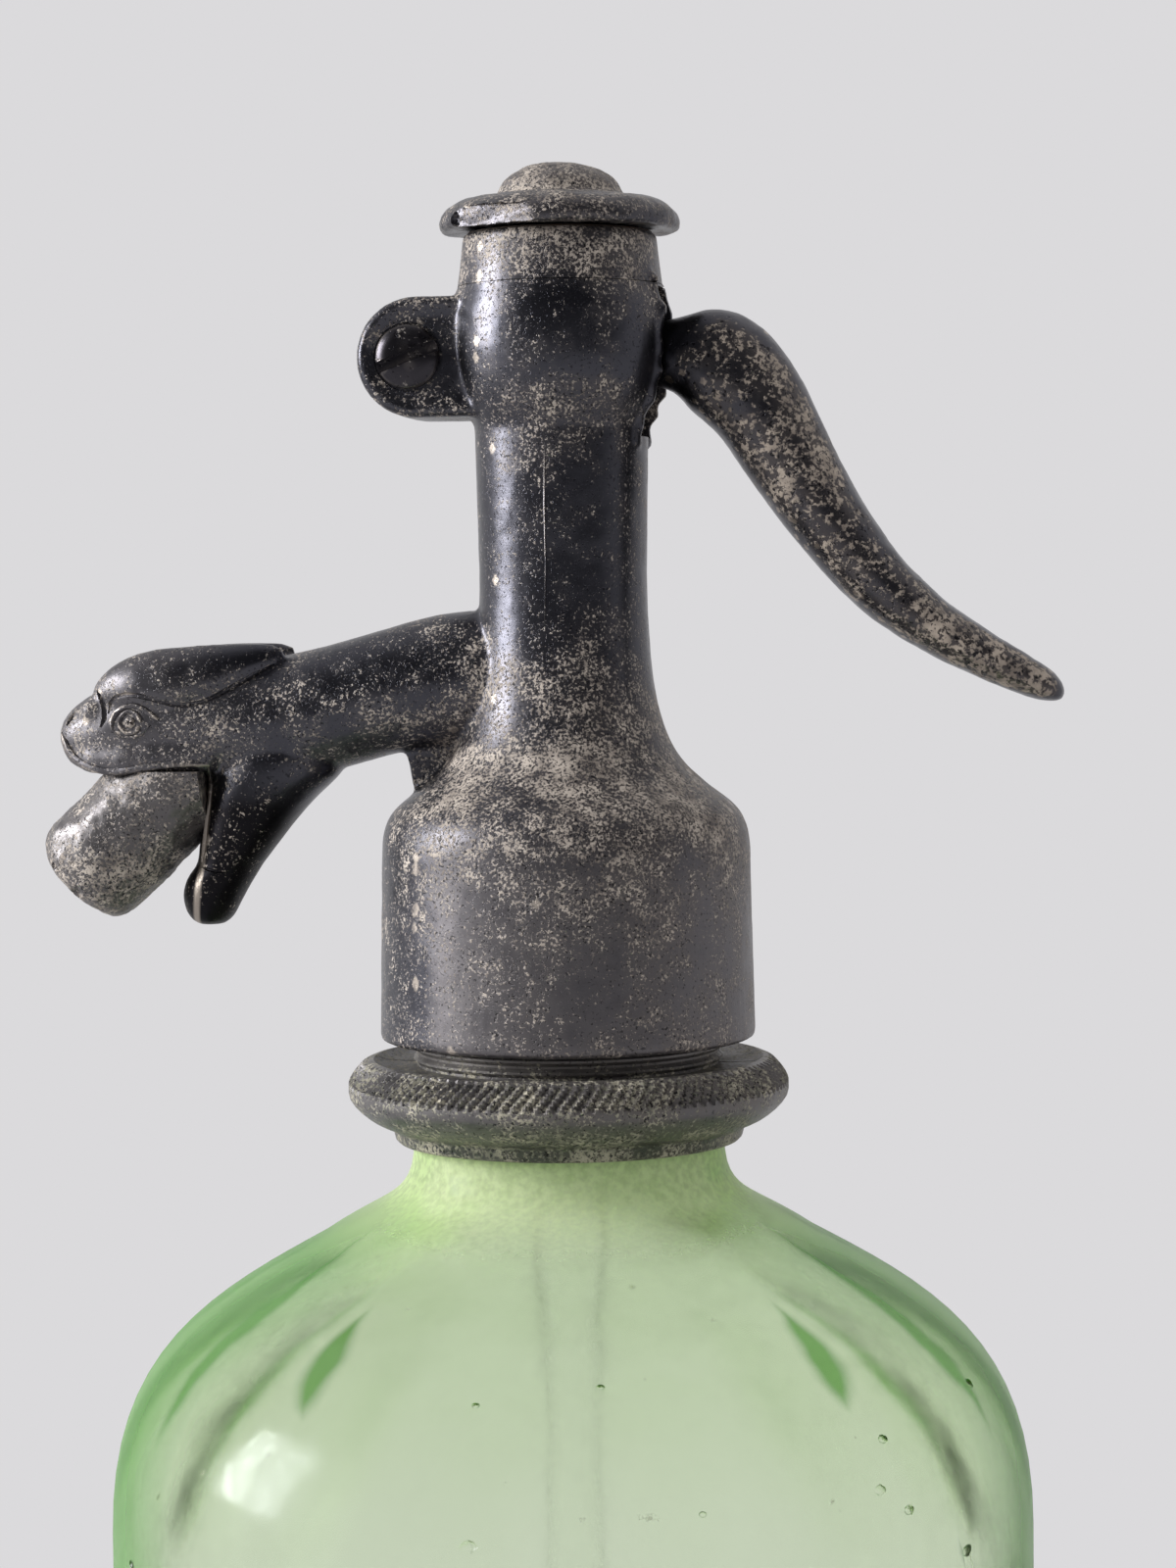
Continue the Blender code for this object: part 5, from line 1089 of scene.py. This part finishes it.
for side in (-1, 1):
    for line, radius in ((MOUTH_LINE, 0.42), (JAW_FRONT, 0.28), (LID, 0.26), (UNDER_LID, 0.2)):
        raised.append(ridge(line, radius, side))
    for ring_radius, radius in EYE_RINGS:
        turns = [math.radians(a) for a in range(0, 341, 20)]
        ring = [(EYE[0] + ring_radius * math.cos(a), EYE[1] + ring_radius * math.sin(a)) for a in turns]
        raised.append(ridge(ring, radius, side))
    sunken.append(ridge(BROW, 0.3, side))
    sunken.append(ridge(FOLD, 0.38, side))
    sunken.append(ridge(NOSE_PIT, 0.5, side))
    sunken.append(ridge(JAW_SEAM, 0.2, side))
raised.append(ridge(COLUMN_SEAM, 0.13, -1, 0.04))
combine(head, raised, "UNION")

# Bores, slots and the screw's stepped hole
BORE_STEPS = ((16.5, 201.6), (16.5, 213.0), (6.5, 213.0), (6.5, 226.6), (4.0, 226.6), (4.0, 243.6))
BORE_STEPS += ((5.0, 243.6), (5.0, 252.3), (5.4, 252.3), (5.4, 285.4), (9.7, 285.4), (9.7, 287.3))
SCREW_HEAD_RADIUS = 3.3 * MM
SCREW_RECESS_RADIUS = 3.6 * MM
SCREW_RECESS = 0.8 * MM
SCREW_SHANK_RADIUS = 1.5 * MM
SCREW_PLAY = 0.1 * MM
TOP_GROOVE = 0.3 * MM
FRONT_SLOT_HALF_WIDTH = 2.5 * MM
sunken.append(turn("bore", [[radius * MM, level * MM] for radius, level in BORE_STEPS], 64))
front_low = (-pivot_reach - 3.2 * MM, -FRONT_SLOT_HALF_WIDTH, pivot_height - 4.5 * MM)
sunken.append(block("front_slot", front_low, (0, FRONT_SLOT_HALF_WIDTH, pivot_height + 3.4 * MM)))
rear_high = (BULGE_RADIUS + 2 * MM, SLOT_HALF_WIDTH, SLOT_HIGH)
sunken.append(block("rear_slot", (0, -SLOT_HALF_WIDTH, SLOT_LOW), rear_high))
screw_hole_line = [
    [SCREW_RECESS_RADIUS, -1 * MM],
    [SCREW_RECESS_RADIUS, SCREW_RECESS],
    [SCREW_SHANK_RADIUS + SCREW_PLAY, SCREW_RECESS],
    [SCREW_SHANK_RADIUS + SCREW_PLAY, LUG_THICKNESS + 1 * MM],
]
screw_hole = turn("screw_hole", screw_hole_line, 48)
to_screw = Matrix.Translation((-pivot_reach, -LUG_THICKNESS / 2, pivot_height)) @ quarter_turn.inverted()
screw_hole.data.transform(to_screw)
sunken.append(screw_hole)
groove_line = [
    [BULGE_TOP_RADIUS - 0.25 * MM, bulge_top],
    [BULGE_TOP_RADIUS + 2 * MM, bulge_top - TOP_GROOVE],
    [BULGE_TOP_RADIUS + 2 * MM, bulge_top + TOP_GROOVE],
]
sunken.append(turn("top_groove", groove_line, HEAD_SIDES, closed=True))
combine(head, sunken, "DIFFERENCE")

HEAD_STOPS = (
    (202, 0.75, 0.35),
    (206, 0.7, 0.25),
    (219, 0.65, 0.3),
    (222.5, 0.5, 0.45),
    (227, 0.35, 0.7),
    (233, 0.3, 0.65),
    (240, 0.1, 0.4),
    (248, 0.05, 0.15),
    (262, 0.05, 0.15),
    (268, 0.1, 0.4),
    (272, 0.1, 0.05),
    (279, 0.15, 0.2),
    (281.5, 0.25, 0.5),
    (286, 0.3, 0.55),
)
ARM_STOPS = (
    (-54, 0.4, 0.25),
    (-48, 0.5, 0.25),
    (-42, 0.5, 0.35),
    (-38, 0.35, 0.35),
    (-30, 0.15, 0.25),
    (-20, 0.15, 0.25),
    (-11, 0.15, 0.4),
)
# The jaw, past about x = -29 mm and below about z = 229 mm, gets a painted shade and a painted highlight
# along its front
pewter = cast_metal("oxidised_tin_alloy", HEAD_STOPS, ARM_STOPS, painted_shade_below=(-29, 229))
dress(head, "head_casting", "root", pewter, 40)

# Spout nozzle: a thick tube of the same tin alloy, cast in the animal's mouth and slanting down and away. Its
# end is battered from knocks, and its bore is drilled through.
NOZZLE_END = Vector((-52.5, 0, 218.5)) * MM
NOZZLE_LENGTH = 19 * MM
NOZZLE_RADIUS = 6.2 * MM
NOZZLE_LIP = 3 * MM
NOZZLE_BORE_RADIUS = 2.6 * MM
NOZZLE_VOXEL = 0.34 * MM
nozzle_line = arc((NOZZLE_RADIUS - NOZZLE_LIP, NOZZLE_LIP), NOZZLE_LIP, -90, 0, 10)
nozzle_line += [[NOZZLE_RADIUS, NOZZLE_LENGTH]]
nozzle = turn("spout_nozzle", nozzle_line, 64)
to_nozzle = Matrix.Translation(NOZZLE_END) @ Matrix.Rotation(math.radians(45), 4, "Y")
nozzle.data.transform(to_nozzle)
recast(nozzle, NOZZLE_VOXEL)
roughen(nozzle, 0.6 * MM, 0.12 * MM)
nozzle_bore = turn("nozzle_bore", [[NOZZLE_BORE_RADIUS, -4 * MM], [NOZZLE_BORE_RADIUS, NOZZLE_LENGTH]], 40)
nozzle_bore.data.transform(to_nozzle)
# Each cut is a point on a plane and the direction of what it takes off: the mouth's roof and the jaw
taken_off = [nozzle_bore]
for point, direction in (((-45, 0, 230.9), (0, 0, 1)), ((-37.6, 0, 225), (1, 0, 0.06))):
    slab = block("slab", (-20 * MM, -20 * MM, 0), (20 * MM, 20 * MM, 20 * MM))
    turned = Vector(direction).to_track_quat("Z", "Y").to_matrix().to_4x4()
    slab.data.transform(Matrix.Translation(Vector(point) * MM) @ turned)
    taken_off.append(slab)
# Dents round the end: turn round the nozzle's axis in degrees, distance from the end, and size in millimetres
DENTS = ((-150, 0.2, 1.9), (-118, 0.6, 1.2), (-80, -0.1, 2.2), (-45, 0.4, 1.5))
DENTS += ((0, 0.2, 1.6), (60, 0.4, 1.9), (120, 0.3, 2))
for degrees, along, size in DENTS:
    across = NOZZLE_RADIUS * 0.98
    centre = (across * math.cos(math.radians(degrees)), across * math.sin(math.radians(degrees)), along * MM)
    dent = ball("dent", centre, size * MM, (0.7, 1, 0.6), 0.15, degrees + 200)
    dent.data.transform(to_nozzle)
    taken_off.append(dent)
combine(nozzle, taken_off, "DIFFERENCE")
NOZZLE_STOPS = ((214, 0.75, 0.75), (218, 0.7, 0.6), (223, 0.6, 0.45), (228, 0.6, 0.4), (232, 0.7, 0.55))
nozzle_metal = cast_metal("battered_tin_alloy", NOZZLE_STOPS, worn="77726F", pale="B3A99F", pitted=0.6)
dress(nozzle, "spout_nozzle", "root", nozzle_metal, 40)

# Pivot screw: a slotted screw of blackened steel with a domed, battered head. It is put in from the near
# side, through the lug and the lever's eye.
SCREW_HEAD_HEIGHT = 1.8 * MM
SCREW_SLOT_WIDTH = 1.2 * MM
SCREW_SLOT_DEPTH = 0.9 * MM
SCREW_SLOT_TURN = math.radians(20)
screw_top = SCREW_RECESS - SCREW_HEAD_HEIGHT
screw_line = [
    [SCREW_SHANK_RADIUS, screw_top + LUG_THICKNESS],
    [SCREW_SHANK_RADIUS, SCREW_RECESS],
    [SCREW_HEAD_RADIUS, SCREW_RECESS],
    [SCREW_HEAD_RADIUS, SCREW_RECESS - 1.0 * MM],
    [SCREW_HEAD_RADIUS - 0.3 * MM, SCREW_RECESS - 1.35 * MM],
    [SCREW_HEAD_RADIUS - 1.2 * MM, SCREW_RECESS - 1.68 * MM],
    [0.5 * MM, screw_top],
]
screw = turn("pivot_screw", screw_line, 64)
slot_low = (-SCREW_HEAD_RADIUS - 1 * MM, -SCREW_SLOT_WIDTH / 2, screw_top - 1 * MM)
slot_high = (SCREW_HEAD_RADIUS + 1 * MM, SCREW_SLOT_WIDTH / 2, screw_top + SCREW_SLOT_DEPTH)
screw_slot = block("screw_slot", slot_low, slot_high)
screw_slot.data.transform(Matrix.Rotation(-SCREW_SLOT_TURN, 4, "Z"))
combine(screw, [screw_slot], "DIFFERENCE")
screw.data.transform(to_screw)
SCREW_STOPS = ((268, 0.1, 0.05), (280, 0.1, 0.15))
black_steel = cast_metal("blackened_steel", SCREW_STOPS, dark="3A383C", worn="4A4545", dust="4A4540",
                         pale="9A928C", grain=1.4, pitted=0.4, edge_wear=0.5)
dress(screw, "pivot_screw", "root", black_steel)

# Lever: a horn-shaped handle cast in one with the blade that runs through the column to the pivot screw's
# eye. It is the head's tin alloy, rubbed by the hand, with brown dust left on its sides.
HANDLE_ROOT = 11.3 * MM
HANDLE_REACH = 40.5 * MM
HANDLE_DROP = 36 * MM
HANDLE_THICKNESS = 11.4 * MM
HANDLE_WIDTH = 10.6 * MM
BLADE_THICKNESS = 4.4 * MM
BLADE_HEIGHT = 4 * MM
EYE_RADIUS = 2.9 * MM
EYE_HOLE_RADIUS = 1.8 * MM
LEVER_VOXEL = 0.32 * MM
# Shares of the reach, drop, thickness and width, and the lean in degrees
HANDLE = (
    (-0.151, 0, 0.17, 0.2, 0),
    (-0.062, 0, 0.24, 0.22, 0),
    (-0.017, -0.003, 0.305, 0.25, 2),
    (0.028, -0.003, 0.34, 0.31, 6),
    (0.075, 0.003, 0.46, 0.39, 14),
    (0.128, 0.022, 0.512, 0.45, 30),
    (0.181, 0.075, 0.49, 0.48, 44),
    (0.239, 0.155, 0.45, 0.5, 56),
    (0.299, 0.29, 0.41, 0.5, 64),
    (0.363, 0.41, 0.375, 0.5, 62),
    (0.439, 0.535, 0.335, 0.48, 57),
    (0.541, 0.675, 0.298, 0.46, 48),
    (0.657, 0.78, 0.25, 0.43, 38),
    (0.8, 0.872, 0.21, 0.39, 27),
    (0.91, 0.934, 0.175, 0.34, 24),
    (0.968, 0.965, 0.14, 0.27, 24),
    (1, 0.99, 0.05, 0.1, 24),
)
handle = [
    (
        (HANDLE_ROOT + HANDLE_REACH * reach, 0, pivot_height - HANDLE_DROP * drop),
        lean,
        HANDLE_THICKNESS * tall,
        HANDLE_WIDTH * wide,
    )
    for reach, drop, tall, wide, lean in HANDLE
]
blade_low = (-pivot_reach, -BLADE_THICKNESS / 2, pivot_height - BLADE_HEIGHT / 2)
blade_high = (handle[0][0][0] + 2 * MM, BLADE_THICKNESS / 2, pivot_height + BLADE_HEIGHT / 2)
blade = block("blade", blade_low, blade_high)
rounds = []
for name, reach in (("eye", -pivot_reach), ("knuckle", 0)):
    disc = turn(name, [[EYE_RADIUS, -BLADE_THICKNESS / 2], [EYE_RADIUS, BLADE_THICKNESS / 2]], 48)
    disc.data.transform(Matrix.Translation((reach, 0, pivot_height)) @ quarter_turn)
    rounds.append(disc)
lever = gather("lever", [loft("handle", handle, 48, 2), blade] + rounds)
recast(lever, LEVER_VOXEL)
roughen(lever, 0.22 * MM, 0.03 * MM)
eye_hole = turn("eye_hole", [[EYE_HOLE_RADIUS, -5 * MM], [EYE_HOLE_RADIUS, 5 * MM]], 40)
eye_hole.data.transform(Matrix.Translation((-pivot_reach, 0, pivot_height)) @ quarter_turn)
combine(lever, [eye_hole], "DIFFERENCE")
LEVER_UP_STOPS = ((230, 0.2, 0.2), (290, 0.2, 0.2))
LEVER_STOPS = (
    (9, 0.1, 0.2),
    (13, 0.1, 0.25),
    (15, 0.15, 0.2),
    (21, 0.2, 0.3),
    (28, 0.2, 0.6),
    (33, 0.15, 0.3),
    (38, 0.15, 0.6),
    (49, 0.15, 0.6),
    (52, 0.3, 0.4),
)
lever_metal = cast_metal("handled_tin_alloy", LEVER_UP_STOPS, LEVER_STOPS, dust="6E645C", pale="A3978B",
                         grain=1.7, pitted=0.5, flank=(5.6, -0.055))
dress(lever, "lever", "lever", lever_metal, 40)

# Cap: a screwed plug with a dome and a drooping rolled brim, cast in the same alloy; one piece of the brim is
# broken off. A leather washer lies under it.
cap_low, cap_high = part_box("top_cap")
PLUG_RADIUS = 5.1 * MM
DOME_RADIUS = 6.5 * MM
CAP_VOXEL = 0.3 * MM
# The brim's section from the plug out, round the washer, over the edge and in to the dome: radius and level
# in millimetres
BRIM = ((5.1, 286.7), (10.1, 286.7), (11.2, 286.6), (11.9, 286.5), (12.3, 286.6), (12.5, 287.0))
BRIM += ((12.5, 287.6), (12.2, 288.3), (11.7, 288.85), (11.0, 289.35), (10.2, 289.65), (9.2, 289.9))
BRIM += ((8.2, 290.0), (7.3, 290.15))
dome_rise = cap_high.z - BRIM[-1][1] * MM - 0.15 * MM
cap_line = [[PLUG_RADIUS - 0.3 * MM, cap_low.z], [PLUG_RADIUS, cap_low.z + 0.3 * MM]]
cap_line += [[radius * MM, level * MM] for radius, level in BRIM]
for step in range(12):
    lift = math.radians(90 * step / 12)
    cap_line.append([DOME_RADIUS * math.cos(lift), BRIM[-1][1] * MM + 0.1 * MM + dome_rise * math.sin(lift)])
cap_line.append([0.3 * MM, cap_high.z - 0.05 * MM])
cap = turn("top_cap", cap_line, 96)
CHIP_BEARING = math.radians(-119)
CHIP_FLAT = 11.35 * MM
chip = block("brim_chip", (CHIP_FLAT, -4.9 * MM, 285 * MM), (15 * MM, 5.3 * MM, 288.55 * MM))
edit(chip)
bpy.ops.mesh.subdivide(number_cuts=9)
bpy.ops.transform.vertex_random(offset=0.22 * MM, seed=3)
close_up("brim_chip")
chip_end = ball("chip_end", (CHIP_FLAT + 0.6 * MM, -5.0 * MM, 287.3 * MM), 1.0 * MM, (1.4, 0.8, 1), 0.1, 5)
for cutter in (chip, chip_end):
    cutter.data.transform(Matrix.Rotation(CHIP_BEARING, 4, "Z"))
recast(cap, CAP_VOXEL)
roughen(cap, 0.4 * MM, 0.06 * MM)
combine(cap, [chip, chip_end], "DIFFERENCE")
CAP_STOPS = ((284, 0.1, 0.3), (287, 0.2, 0.3), (288.2, 0.2, 0.45), (289.8, 0.25, 0.3), (290.6, 0.7, 0.7))
CAP_STOPS += ((294, 0.7, 0.6),)
cap_metal = cast_metal("cap_tin_alloy", CAP_STOPS, worn="77716F", pitted=0.5)
dress(cap, "top_cap", "root", cap_metal, 40)
refinish(oiled_leather, "cap_washer")

# Return spring: a coil of drawn steel wire between the gland nut and the cup under the yoke. Its lower end
# stays on the nut and its upper end goes down with the stem, so that it shortens when the lever is pressed.
spring_low, spring_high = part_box("return_spring")
SPRING_WIRE_RADIUS = 0.5 * MM
SPRING_TURNS = 5.5
SPRING_SIDES = 24
bpy.ops.object.select_all(action="DESELECT")
bpy.ops.mesh.primitive_circle_add(
    vertices=12,
    radius=SPRING_WIRE_RADIUS,
    location=(spring_high.x - SPRING_WIRE_RADIUS, 0, spring_low.z + SPRING_WIRE_RADIUS),
    rotation=(math.radians(90), 0, 0),
)
bpy.ops.object.transform_apply(location=True, rotation=True, scale=True)
spring = bpy.context.object
apply(
    spring,
    "SCREW",
    angle=math.tau * SPRING_TURNS,
    screw_offset=spring_high.z - spring_low.z - 2 * SPRING_WIRE_RADIUS,
    steps=int(SPRING_SIDES * SPRING_TURNS),
)
edit(spring)
bpy.ops.mesh.fill_holes(sides=0)
close_up("return_spring")
spring_steel = turned_metal("drawn_spring_steel", "8C8D8F", "5E5C5A", 0.3)
dress(spring, "return_spring", None, spring_steel)
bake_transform(spring)

# Valve: stem, yoke and seals inside the column, which keep the shapes of the CAD model. What is turned is
# brass, the seal is rubber, and the packing and the gasket are oiled leather.
refinish(turned_brass, "stem_yoke", "spring_cup", "valve_stem", "seal_washer", "valve_nut", "packing_nut")
refinish(turned_brass, "packing_washer", "valve_seat")
refinish(aged_rubber, "valve_seal")
refinish(oiled_leather, "stem_packing", "seat_gasket")
